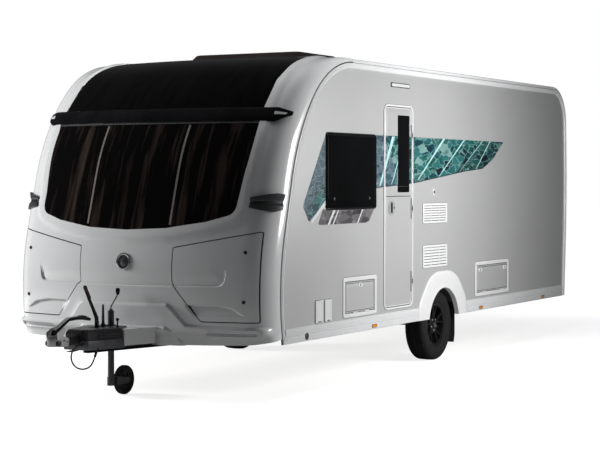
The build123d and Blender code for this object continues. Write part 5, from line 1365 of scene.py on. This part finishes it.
vinyl("graphic_front_field", [(0.69, 1.95), (0.655, 1.905), (0.332, 1.42), (0.328, 1.396),
    (0.413, 1.29), (0.432, 1.29), (0.69, 1.44)], slate_print, 0.0007)
vinyl("graphic_front_field_tint", [(0.69, 1.62), (0.4, 1.345), (0.436, 1.3), (0.69, 1.43)],
    teal_print, 0.001)
vinyl("graphic_front_stripe", [(0.69, 1.452), (0.448, 1.29), (0.468, 1.274), (0.69, 1.412)],
    pale_print, 0.0013)
vinyl("graphic_lower_field", [(0.64, 1.375), (0.565, 1.266), (0.59, 1.258), (1.378, 1.258),
    (1.44, 1.275), (1.535, 1.375)], umber_print, 0.0007)
for index, (start, wide) in enumerate(((0.72, 0.036), (0.8, 0.018), (1.22, 0.018)), 1):
    vinyl(f"graphic_lower_stripe_{index}", [(start, 1.258), (start + wide, 1.258),
        (start + wide + 0.1, 1.375), (start + 0.1, 1.375)], pale_print, 0.001)
band = [(1.56, 1.968), (4.3, 1.962), (4.319, 1.957), (4.056, 1.794), (3.815, 1.705),
    (3.366, 1.675), (2.637, 1.605), (2.287, 1.572), (1.56, 1.535)]
fields = [("band", band, teal_print, 0), ("band_slate", [(1.56, 1.968), (1.7, 1.968), (1.96, 1.64),
    (1.93, 1.555), (1.56, 1.535)], slate_print, 0.0002),
    ("band_tail", [(3.366, 1.675), (3.15, 1.655), (3.7, 1.964), (4.3, 1.962), (4.319, 1.957),
    (4.056, 1.794), (3.815, 1.705)], deep_print, 0.0002)]
for index, (low_y, high_y, wide) in enumerate(((1.62, 1.86, 0.034), (1.845, 2.1, 0.014),
        (2.36, 2.9, 0.03), (2.8, 3.36, 0.022), (3.22, 3.8, 0.012), (3.62, 3.98, 0.014)), 1):
    low_z = 1.545 + 0.064 * (low_y - 1.56)
    fields.append((f"band_stripe_{index}", [(low_y, low_z), (low_y + wide, low_z + wide * 0.3),
        (high_y + wide * 1.6, 1.963), (high_y, 1.963)], turquoise_print, 0.0004))
fields.append(("band_under", [(1.56, 1.543), (2.287, 1.58), (2.637, 1.613), (3.366, 1.683),
    (3.815, 1.713), (3.815, 1.705), (3.366, 1.675), (2.637, 1.605), (2.287, 1.572), (1.56, 1.535)],
    ink_print, 0.0006))
for label, loop, material, more in fields:
    vinyl(f"graphic_{label}_front", cut_at(loop, 1.7005, False), material, 0.0007 + more)
    vinyl(f"graphic_{label}_rear", cut_at(loop, 2.2755, True), material, 0.0007 + more)
    vinyl(f"graphic_{label}_door", cut_at(cut_at(loop, 1.7285, True), 2.2475, False), material,
        0.0022 + more, "entrance_door")

# ------------------------------------------------------------------ rooflight
# Smoked acrylic dome hinged at its rear edge on a moulded frame that is screwed and bedded
# to the roof, with two catches under its front edge.
frame_moulding = surface("rooflight_frame_plastic", (0.3, 0.29, 0.28), 0.45, scale=14, mottle=0.06,
    bump=0.1)
smoked = surface("smoked_acrylic", (0.02, 0.017, 0.016), 0.14, shine=0.2, scale=4, mottle=0.2,
    bump=0.01, grain=30)
dress(frame_moulding, "rooflight_frame")
lid_half, lid_front, lid_rear = 0.535, behind(1.345), behind(2.145)


# The dome's rings: how far each is drawn in across and along, and its height.
dome_profile = [(0.06, 0.085, 2.657), (0.04, 0.066, 2.653), (0.014, 0.022, 2.612),
    (0.01, 0.012, 2.6035), (0.007, 0.007, 2.5955), (0.001, 0.001, 2.5955), (0, 0, 2.5975),
    (0, 0, 2.6045), (0.003, 0.004, 2.607), (0.007, 0.012, 2.611), (0.028, 0.05, 2.65),
    (0.034, 0.06, 2.6585), (0.044, 0.074, 2.6615), (0.09, 0.12, 2.662)]
lid_rings = []
for across, along, height in dome_profile:
    loop = round_rectangle(across - lid_half, lid_half - across, lid_front + along,
        lid_rear - along, 0.045)
    lid_rings.append([(x, y, height) for x, y in loop])
lid = piece("rooflight_dome", *ringed(lid_rings), smoked, "rooflight_lid", 30)
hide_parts("rooflight_lid")
ridge_front, ridge_rear = lid_front + 0.085, lid_rear - 0.085
for number, x in enumerate((-0.28, 0, 0.28), 1):
    ridge = [[(x - half, ridge_front, level), (x - half, ridge_rear, level),
        (x + half, ridge_rear, level), (x + half, ridge_front, level)]
        for half, level in ((0.013, 2.661), (0.009, 2.66215))]
    piece(f"rooflight_rib_{number}", *ringed(ridge), smoked, "rooflight_lid")
for number, x in enumerate((-0.33, 0.33), 1):
    turned(f"rooflight_hinge_{number}",
        both_ways([(0, -0.0395), (0.0045, -0.0395), (0.005, -0.0385)]),
        (x, lid_rear + 0.008, 2.599), (1, 0, 0), black_matt, "rooflight_lid", 20)
    catch = []
    for half, front, rear, level in ((0.03, 0.012, 0.03, 2.597), (0.026, 0.014, 0.028, 2.604)):
        low_x, high_x, front, rear = x - half, x + half, lid_front + front, lid_front + rear
        catch.append([(low_x, front, level), (high_x, front, level), (high_x, rear, level),
            (low_x, rear, level)])
    piece(f"rooflight_catch_{number}", *ringed(catch), black_matt, "rooflight_lid")

# ------------------------------------------------------------------ rear lamps
# Upright lamp clusters at both rear corners, a ribbed lens in red with an amber band for
# the indicator and a clear one for reversing.
lens_red, tree, shader, place = new_material("rear_lamp_lens")
height = add_node(tree, "SeparateXYZ", {"Vector": place})["Z"]
level = add_node(tree, "MapRange", {"Value": height, "From Min": 0.64, "From Max": 1.13})
bands = add_ramp(tree, [(0, (0.42, 0.008, 0.008)), (0.36, (0.62, 0.62, 0.62)),
    (0.56, (0.75, 0.24, 0.015)), (0.78, (0.42, 0.008, 0.008)), (0.97, (0.3, 0.006, 0.006))],
    level["Result"], "CONSTANT")
ribs = add_node(tree, "TexWave", {"Vector": place, "Scale": 28.0}, bands_direction="Z")
ribbed = add_node(tree, "Bump", {"Height": ribs["Fac"], "Strength": 0.5, "Distance": 0.002})
feed(tree, shader, {"Base Color": bands, "Normal": ribbed["Normal"], "Roughness": 0.12,
    "Coat Weight": 0.7})
dress(lens_red, "rear_lamps")

# ------------------------------------------------------------------ drawbar cover
# Dark moulded cover over the drawbar: a flat top with a hole for the jockey tube and a slot
# for the levers, chamfered shoulders, paler sides with a dark panel in each, and a knob.
cover_plastic = surface("cover_dark_plastic", (0.028, 0.028, 0.031), 0.42, scale=16, mottle=0.25,
    bump=0.15, rough_range=0.1, coat=0.15)
cover_side_plastic = surface("cover_side_plastic", (0.15, 0.152, 0.165), 0.36, scale=12,
    mottle=0.15, bump=0.08, coat=0.25)
cover_plan = [(-0.977, 0.108), (-0.9, 0.128), (-0.665, 0.198), (-0.48, 0.125)]
cover_outline = [(half, back) for back, half in cover_plan]
cover_outline += [(-half, back) for back, half in reversed(cover_plan)]


def cover_ring(inset, height, outline=None):
    """Outline of the cover drawn in by an amount, at a height."""
    loop = [Vector((x, behind(back))) for x, back in outline or cover_outline]
    ring = []
    for before, here, after in zip(loop[-1:] + loop[:-1], loop, loop[1:] + loop[:1]):
        first, second = (here - before).normalized(), (after - here).normalized()
        first_in, second_in = Vector((-first.y, first.x)), Vector((-second.y, second.x))
        half = (first_in + second_in).normalized()
        ring.append((*(here + half * inset / max(0.3, half.dot(first_in))), height))
    return ring


def cover_band(name, rings, material):
    """Open run of the cover's skin between outlines."""
    verts, faces = ringed([cover_ring(*values) for values in rings])
    return piece(name, verts, faces[:-2], material, soft=25)


cover_skin = cover_band("drawbar_cover_shoulder", [(0.012, 0.447), (0.01, 0.5), (0.016, 0.514),
    (0.026, 0.526), (0.034, 0.5295), (0.04, 0.53)], cover_plastic)
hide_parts("drawbar_cover")
cover_band("drawbar_cover_side", [(0, 0.384), (0, 0.386), (0, 0.444), (0.003, 0.451),
    (0.012, 0.453), (0.0125, 0.447)], cover_side_plastic)
cover_band("drawbar_cover_lining", [(0.012, 0.386), (0.016, 0.45), (0.016, 0.5), (0.044, 0.5265)],
    cover_plastic)
for side, end in sides:
    panel = []
    for share, low, high in ((0.08, 0.464, 0.486), (0.16, 0.459, 0.492), (0.8, 0.459, 0.492),
            (0.88, 0.464, 0.486)):
        back = -0.9 + 0.235 * share
        x = 0.128 + 0.07 * share
        panel.append([(side * (x - 0.0115 + lift), behind(back) - lift * 0.3, z)
            for lift, z in ((0, low), (0.0075, low + 0.006), (0.0075, high - 0.006), (0, high))])
    piece(f"drawbar_cover_panel_{end}", *ringed(panel), cover_plastic, soft=25)


tube_y = behind(-0.547)
hole = [(0.033 * math.cos(a), tube_y + 0.033 * math.sin(a)) for a in np.linspace(0, 2 * math.pi,
    33)[:-1]]
slot = densify([(0.03, behind(-0.8)), (0.03, behind(-0.604)), (-0.03, behind(-0.604)),
    (-0.03, behind(-0.8))], 0.02)
top_edge = densify([point[:2] for point in cover_ring(0.039, 0)], 0.03)
top_sheet, top_faces = sheet_faces([top_edge, hole, slot],
    [(x, behind(back)) for back in (-0.7, -0.5) for x in (0.06, -0.06)])
count = len(top_sheet)
verts = [(x, y, z) for z in (0.53, 0.5265) for x, y in top_sheet]
faces = [tuple(f) for f in top_faces] + [tuple(i + count for i in reversed(f)) for f in top_faces]
index_of = {(round(x, 6), round(y, 6)): i for i, (x, y) in enumerate(top_sheet)}
for loop in (top_edge, hole, slot):
    run = [index_of.get((round(x, 6), round(y, 6))) for x, y in loop]
    faces += [(a, b, b + count, a + count) for a, b in zip(run, run[1:] + run[:1]) if a is not None
        and b is not None]
piece("drawbar_cover_top", verts, faces, cover_plastic)
turned("cover_tube_collar", [(0.0335, 0.5305), (0.0335, 0.533), (0.035, 0.5345), (0.04, 0.5345),
    (0.042, 0.5325), (0.042, 0.53)], (0, tube_y, 0), (0, 0, 1), black_matt, segments=40)
turned("cover_side_knob", [(0, 0.598), (0.009, 0.597), (0.0125, 0.592), (0.0125, 0.584),
    (0.008, 0.578), (0.0055, 0.57), (0.0055, 0.54), (0.01, 0.534), (0.011, 0.5285)],
    (0.14, behind(-0.662), 0), (0, 0, 1), black_gloss, segments=28)

# Body-coloured fairing that carries the bumper forward to meet the dark cover.
fairing_plan = [(0.29, -0.392), (-0.29, -0.392), (-0.206, -0.668), (-0.18, -0.655),
    (-0.11, -0.492), (0.11, -0.492), (0.18, -0.655), (0.206, -0.668)][::-1]
fairing_rings = [cover_ring(inset, height, fairing_plan) for inset, height in ((0, 0.398),
    (0, 0.5), (0.004, 0.512), (0.009, 0.518))]
piece("drawbar_fairing", *ringed(fairing_rings), gelcoat, soft=25)

# ------------------------------------------------------------------ coupling and its lever
# Cast and zinc-plated friction coupling on the drawbar shaft: socket with a rounded nose,
# friction-pad knobs through its sides, two bolts, and a long pressed lever over the top.
cast_silver = surface("coupling_cast_silver", (0.55, 0.55, 0.54), 0.36, scale=60, mottle=0.12,
    metal=0.8, bump=0.25, rough_range=0.1, grain=500)
bellows_rubber = surface("bellows_rubber", (0.025, 0.025, 0.026), 0.6, scale=50, mottle=0.2,
    bump=0.2)


def plate_piece(name, side_points, half, material, bevel=0.0, middle=0.0, segments=2):
    """Plate cut to a side outline of (behind, height) points, thick across the caravan."""
    rings = [[(middle + x, behind(back), z) for back, z in side_points] for x in (-half, half)]
    return piece(name, *ringed(rings), material, soft=30, bevel=bevel, segments=segments)


head = plate_piece("coupling_casting", [(-1.11, 0.424), (-1.11, 0.486), (-1.135, 0.492),
    (-1.18, 0.504), (-1.22, 0.511), (-1.22, 0.436), (-1.196, 0.434), (-1.182, 0.424)], 0.036,
    cast_silver, bevel=0.006, segments=3)
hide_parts("coupling_head")
ball_y = behind(-1.245)
turned("coupling_nose", [(0.0252, 0.4335), (0.03, 0.433), (0.043, 0.4335), (0.045, 0.437),
    (0.045, 0.485), (0.0435, 0.496), (0.038, 0.506), (0.027, 0.511), (0, 0.512)], (0, ball_y, 0),
    (0, 0, 1), cast_silver, segments=56)
turned("coupling_socket_lining", [(0.0252, 0.4335), (0.0252, 0.455), (0.0235, 0.464),
    (0.018, 0.4726), (0.0095, 0.4783), (0, 0.4802)], (0, ball_y, 0), (0, 0, 1), cast_silver,
    segments=48)
for side, end in sides:
    turned(f"friction_knob_{end}", [(0, 0.058), (0.012, 0.058), (0.015, 0.0565), (0.02, 0.0555),
        (0.022, 0.053), (0.022, 0.047), (0.0205, 0.0455), (0.022, 0.044), (0.022, 0.04),
        (0.019, 0.038), (0.019, 0.03)], (0, ball_y, 0.455), (side, 0, 0), black_matt, segments=36)
    for index, (back, z) in enumerate(((-1.128, 0.458), (-1.166, 0.47)), 1):
        turned(f"coupling_bolt_{end}_{index}", [(0, 0.0475), (0.0075, 0.0475), (0.009, 0.046),
            (0.009, 0.0395), (0.012, 0.0392), (0.0125, 0.0355)], (0, behind(back), z),
            (side, 0, 0), galvanised, segments=6, soft=20)
    plate_piece(f"coupling_cheek_{end}", [(-1.112, 0.44), (-1.112, 0.482), (-1.186, 0.498),
        (-1.202, 0.488), (-1.202, 0.45), (-1.186, 0.44)], 0.002, cast_silver, bevel=0.001,
        middle=side * 0.0375)
turned("shaft_bellows", [(0.0262, -1.1105)]
    + [(0.0262 + 0.0055 * (index % 2), -1.108 + 0.0092 * index) for index in range(15)]
    + [(0.0262, -0.9785), (0.025, -0.971)], (0, seam_y, 0.455), (0, 1, 0), bellows_rubber,
    segments=40, soft=25)
lever_body = plate_piece("coupling_lever_plate", [(-1.262, 0.5125), (-1.252, 0.534),
    (-1.24, 0.546), (-1.08, 0.618), (-1.04, 0.623), (-0.905, 0.624), (-0.88, 0.618),
    (-0.82, 0.592), (-0.822, 0.584), (-0.905, 0.604), (-1.07, 0.598), (-1.19, 0.536),
    (-1.19, 0.5125)], 0.013, black_gloss, bevel=0.003)
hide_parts("coupling_lever")
plate_piece("coupling_lever_cap", [(-1.236, 0.5475), (-1.08, 0.6185), (-1.04, 0.6235),
    (-0.96, 0.6245), (-0.96, 0.6275), (-1.041, 0.6268), (-1.081, 0.622), (-1.238, 0.5505)], 0.015,
    cast_silver, bevel=0.001)
plate_piece("coupling_lever_grip", [(-0.955, 0.6), (-0.955, 0.629), (-0.905, 0.63),
    (-0.876, 0.624), (-0.817, 0.6035), (-0.815, 0.594), (-0.82, 0.5845), (-0.905, 0.598)], 0.0158,
    black_matt, bevel=0.005, segments=3)
for side, end in sides:
    plate_piece(f"coupling_lever_side_{end}", [(-1.258, 0.482), (-1.262, 0.53), (-1.2, 0.56),
        (-1.165, 0.562), (-1.16, 0.538), (-1.19, 0.508), (-1.214, 0.482)], 0.002, cast_silver,
        bevel=0.001, middle=side * 0.0475)

# ------------------------------------------------------------------ overrun housing, handbrake
# Black cast housing on the drawbar round the sliding shaft, with a round flange in front,
# the flat-steel handbrake lever with its dark red moulded grip, and the clamp's post.
housing = plate_piece("overrun_housing_casting", [(-0.971, 0.392), (-0.971, 0.516), (-0.96, 0.526),
    (-0.69, 0.526), (-0.668, 0.51), (-0.668, 0.4), (-0.69, 0.386), (-0.96, 0.386)], 0.044,
    black_matt, bevel=0.008, segments=3)
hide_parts("overrun_housing")
turned("housing_front_flange", [(0.0255, -0.978), (0.04, -0.978), (0.0425, -0.9755),
    (0.0425, -0.969)], (0, seam_y, 0.455), (0, 1, 0), black_matt, segments=36)
grip_red = surface("handbrake_grip", (0.06, 0.012, 0.01), 0.45, scale=45, mottle=0.3, bump=0.3,
    coat=0.2)
brake = plate_piece("handbrake_blade", [(-0.742, 0.52), (-0.744, 0.596), (-0.786, 0.672),
    (-0.832, 0.742), (-0.866, 0.803), (-0.852, 0.812), (-0.812, 0.752), (-0.76, 0.674),
    (-0.712, 0.602), (-0.7, 0.52)], 0.0065, black_gloss, bevel=0.002)
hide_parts("handbrake_lever")
turned("handbrake_grip_sleeve", [(0, -0.054), (0.012, -0.054), (0.014, -0.05), (0.0125, -0.03),
    (0.014, -0.01), (0.0128, 0.008), (0.0142, 0.026), (0.0148, 0.044), (0.012, 0.053),
    (0.005, 0.0548), (0, 0.0548)], (0, behind(-0.842), 0.79), (0, -48, 74), grip_red, segments=32)
turned("handbrake_button", [(0, 0.0595), (0.0045, 0.059), (0.0055, 0.057), (0.0055, 0.053)],
    (0, behind(-0.842), 0.79), (0, -48, 74), black_gloss, segments=20)
turned("handbrake_pivot", both_ways([(0, 0.015), (0.01, 0.015), (0.012, 0.013)]),
    (0, behind(-0.721), 0.552), (1, 0, 0), galvanised, segments=6, soft=20)
dress(black_matt, "jockey_clamp")
turned("clamp_post", [(0, 0.6905), (0.006, 0.69), (0.0075, 0.686), (0.0082, 0.65), (0.0105, 0.56),
    (0.015, 0.548), (0.0185, 0.544), (0.019, 0.532), (0.023, 0.5305), (0.024, 0.528)],
    (0, behind(-0.646), 0), (0, 0, 1), black_matt, segments=28)

# ------------------------------------------------------------------ hitch cable
# Black rubber cable that loops under the hitch from one gland of the cover to the other.
cable_rubber = surface("cable_rubber", (0.018, 0.018, 0.019), 0.5, scale=90, mottle=0.2, bump=0.1)
cable_points = [(0.057, -1.000, 0.425), (0.058, -1.052, 0.42), (0.062, -1.108, 0.394),
    (0.07, -1.136, 0.338), (0.08, -1.108, 0.284), (0.092, -1.046, 0.256), (0.104, -0.978, 0.258),
    (0.114, -0.932, 0.29), (0.119, -0.912, 0.34)]
cable_points = [Vector((x, behind(back), z)) for x, back, z in cable_points]
cable_curve = bpy.data.curves.new("hitch_cable_line", "CURVE")
cable_curve.dimensions = "3D"
cable_curve.bevel_depth = 0.0055
cable_curve.bevel_resolution = 4
cable_curve.resolution_u = 10
line = cable_curve.splines.new("NURBS")
line.points.add(len(cable_points) - 1)
for point, spot in zip(line.points, cable_points):
    point.co = (*spot, 1)
line.order_u = 3
line.use_endpoint_u = True
cable_curve.materials.append(cable_rubber)
cable = bpy.data.objects.new("hitch_cable_run", cable_curve)
bpy.context.scene.collection.objects.link(cable)
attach(cable, "caravan")
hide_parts("hitch_cable")


for index, (here, toward, root) in enumerate(((cable_points[0], cable_points[1], -0.03),
        (cable_points[-1], cable_points[-2], -0.06)), 1):
    turned(f"cable_gland_{index}", [(0.0056, 0.006), (0.0076, 0.005), (0.0094, 0), (0.0094, -0.01),
        (0.008, -0.012), (0.0094, -0.014), (0.0094, root)], here, toward - here, black_matt,
        segments=24)

# ------------------------------------------------------------------ jockey wheel
# Telescopic steel tube clamped to the drawbar, with a bent winding rod and a black knob at
# its head, a swivelling fork at its foot and a solid rubber wheel on a plastic centre.
tube_steel = surface("jockey_tube_paint", (0.105, 0.108, 0.115), 0.35, scale=30, mottle=0.15,
    metal=0.4, bump=0.05, stretch=(1, 1, 0.2))
tube_outer = turned("jockey_tube_outer", [(0.021, 0.152), (0.0232, 0.152), (0.024, 0.154),
    (0.024, 0.18), (0.0236, 0.182), (0.0236, 0.56), (0.024, 0.562), (0.024, 0.612), (0.024, 0.634),
    (0.0225, 0.6385), (0.016, 0.64), (0.0125, 0.644), (0.012, 0.652), (0, 0.653)], (0, tube_y, 0),
    (0, 0, 1), tube_steel, "jockey_tube", 44)
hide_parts("jockey_tube")
turned("jockey_tube_lining", [(0.0212, 0.152), (0.0212, 0.61), (0, 0.612)], (0, tube_y, 0),
    (0, 0, 1), tube_steel, "jockey_tube", 32)
rod_path = rounded_path([(0, tube_y, 0.64), (0, tube_y, 0.664), (0, behind(-0.47), 0.74),
    (0, behind(-0.458), 0.762)], [0.012, 0.012], 0.003)
rings = []
for index, spot in enumerate(rod_path):
    ahead = rod_path[min(index + 1, len(rod_path) - 1)] - rod_path[max(index - 1, 0)]
    across = Vector((1, 0, 0))
    other = ahead.normalized().cross(across)
    rings.append([spot + (across * math.cos(a) + other * math.sin(a)) * 0.0058
        for a in np.linspace(0, 2 * math.pi, 17)[:-1]])
piece("jockey_winding_rod", *ringed(rings), steel_bright, "jockey_tube")
turned("jockey_knob", [(0, 0.75), (0.0085, 0.75), (0.011, 0.753), (0.013, 0.762), (0.0165, 0.774),
    (0.0168, 0.786), (0.0145, 0.796), (0.009, 0.8005), (0, 0.801)], (0, behind(-0.458), 0),
    (0, 0, 1), black_gloss, "jockey_tube", 32)
dress(tube_steel, "jockey_fork")
axle_spot = Vector((0, behind(-0.382), 0.11))
for side, end in sides:
    turned(f"jockey_axle_nut_{end}", [(0, 0.044), (0.0045, 0.044), (0.005, 0.043),
        (0.0105, 0.0425), (0.011, 0.041), (0.011, 0.0395)], axle_spot, (side, 0, 0), steel_bright,
        "jockey_fork", 6, 20)
jockey_rubber = surface("jockey_tyre_rubber", (0.02, 0.02, 0.021), 0.7, scale=60, mottle=0.3,
    bump=0.3)
jockey_plastic = surface("jockey_centre_plastic", (0.05, 0.05, 0.053), 0.5, scale=30, mottle=0.2,
    bump=0.15)
small_tyre = turned("jockey_tyre", [(0.063, -0.023), (0.07, -0.0255), (0.085, -0.0278),
    (0.096, -0.0265), (0.103, -0.0225), (0.106, -0.0165), (0.1085, -0.015), (0.109, -0.008),
    (0.106, -0.007), (0.106, -0.004), (0.1095, -0.003), (0.1098, 0.003), (0.106, 0.004),
    (0.106, 0.007), (0.109, 0.008), (0.1085, 0.015), (0.106, 0.0165), (0.103, 0.0225),
    (0.096, 0.0265), (0.085, 0.0278), (0.07, 0.0255), (0.063, 0.023)], axle_spot, (1, 0, 0),
    jockey_rubber, "jockey_wheel", 64, 28)
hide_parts("jockey_wheel")
turned("jockey_centre", both_ways([(0.0085, -0.0325), (0.02, -0.0325), (0.023, -0.03),
    (0.024, -0.0145), (0.05, -0.012), (0.058, -0.016), (0.062, -0.0225), (0.065, -0.0235)]),
    axle_spot, (1, 0, 0), jockey_plastic, "jockey_wheel", 48, 28)
for index in range(6):
    angle = math.pi * index / 3
    out = Vector((0, math.cos(angle), math.sin(angle)))
    across = Vector((0, -math.sin(angle), math.cos(angle)))
    ribs_rings = [[axle_spot + out * radius + across * wide + Vector((x, 0, 0))
        for x, wide in ((-deep, -0.003), (deep, -0.003), (deep, 0.003), (-deep, 0.003))]
        for radius, deep in ((0.022, 0.028), (0.06, 0.0195))]
    piece(f"jockey_centre_rib_{index + 1}", *ringed(ribs_rings), jockey_plastic, "jockey_wheel")

# ------------------------------------------------------------------ floor, light and camera
# Pale studio floor, soft white panels to the left, to the near side and overhead, and a long
# lens at eye height, some twelve metres off the caravan's near front corner.
stage_mesh = bpy.data.meshes.new("studio_floor")
reach = 60.0
stage_mesh.from_pydata([(-reach, -reach, 0), (reach, -reach, 0), (reach, reach, 0),
    (-reach, reach, 0)], [], [(0, 1, 2, 3)])
studio_floor = bpy.data.objects.new("studio_floor", stage_mesh)
bpy.context.scene.collection.objects.link(studio_floor)
# The floor takes light and shadow, and the camera also sees it glow whiter away from the middle.
floor_material, tree, shader, place = new_material("pale_studio_floor")
feed(tree, shader, {"Base Color": (0.45, 0.45, 0.45, 1), "Roughness": 0.9,
    "Specular IOR Level": 0.1})
away = add_node(tree, "VectorMath", {0: place}, operation="LENGTH")
fade = add_node(tree, "MapRange", {"Value": away["Value"], "From Min": 3.0, "From Max": 9.0,
    "To Min": 0.8, "To Max": 1.0}, interpolation_type="SMOOTHSTEP")
glow = add_node(tree, "Emission", {"Color": (1, 1, 1, 1), "Strength": fade["Result"]})
together = add_node(tree, "AddShader", {0: shader.outputs["BSDF"], 1: glow["Emission"]})
from_camera = add_node(tree, "LightPath")["Is Camera Ray"]
seen = add_node(tree, "MixShader", {"Fac": from_camera, 1: shader.outputs["BSDF"],
    2: together["Shader"]})
feed(tree, tree.nodes["Material Output"], {"Surface": seen["Shader"]})
stage_mesh.materials.append(floor_material)

# The camera sees a white surround, and everything else a weak bluish one.
world = bpy.data.worlds.new("studio")
world.use_nodes = True
bpy.context.scene.world = world
tree = world.node_tree
soft_sky = tree.nodes["Background"]
feed(tree, soft_sky, {"Color": (0.92, 0.95, 1.0, 1), "Strength": 0.05})
white_wall = add_node(tree, "Background", {"Color": (1, 1, 1, 1), "Strength": 1.0})
from_camera = add_node(tree, "LightPath")["Is Camera Ray"]
choice = add_node(tree, "MixShader", {"Fac": from_camera, 1: soft_sky.outputs["Background"],
    2: white_wall["Background"]})
feed(tree, tree.nodes["World Output"], {"Surface": choice["Shader"]})


def lamp(name, place, target, size, power, mirrored_in_gloss=True):
    """Soft rectangular studio lamp aimed at a point."""
    light = bpy.data.lights.new(name, "AREA")
    light.shape = "RECTANGLE"
    light.size, light.size_y = size
    light.energy = power
    made = bpy.data.objects.new(name, light)
    made.location = place
    made.rotation_euler = (Vector(target) - Vector(place)).to_track_quat("-Z", "Y").to_euler()
    made.visible_glossy = mirrored_in_gloss
    bpy.context.scene.collection.objects.link(made)


lamp("front_left_panel", (-8.0, -4.4, 2.8), (-0.6, -2.8, 1.2), (2.6, 2.2), 880, False)
lamp("side_panel", (4.0, 0.1, 2.0), (1.1, 0, 1.4), (1.5, 1.3), 128)
lamp("overhead_panel", (0.2, -0.6, 7.0), (0.2, -0.4, 1.5), (4.0, 3.0), 230, False)

camera_data = bpy.data.cameras.new("camera")
camera_data.lens = 100.0
camera_data.sensor_width = 36.0
camera_data.clip_end = 200.0
camera = bpy.data.objects.new("camera", camera_data)
camera.location = (7.144, -13.049, 1.609)
camera.rotation_euler = (math.radians(90 - 1.596), 0, math.radians(28.809))
bpy.context.scene.collection.objects.link(camera)
bpy.context.scene.camera = camera
bpy.context.scene.view_settings.view_transform = "Standard"
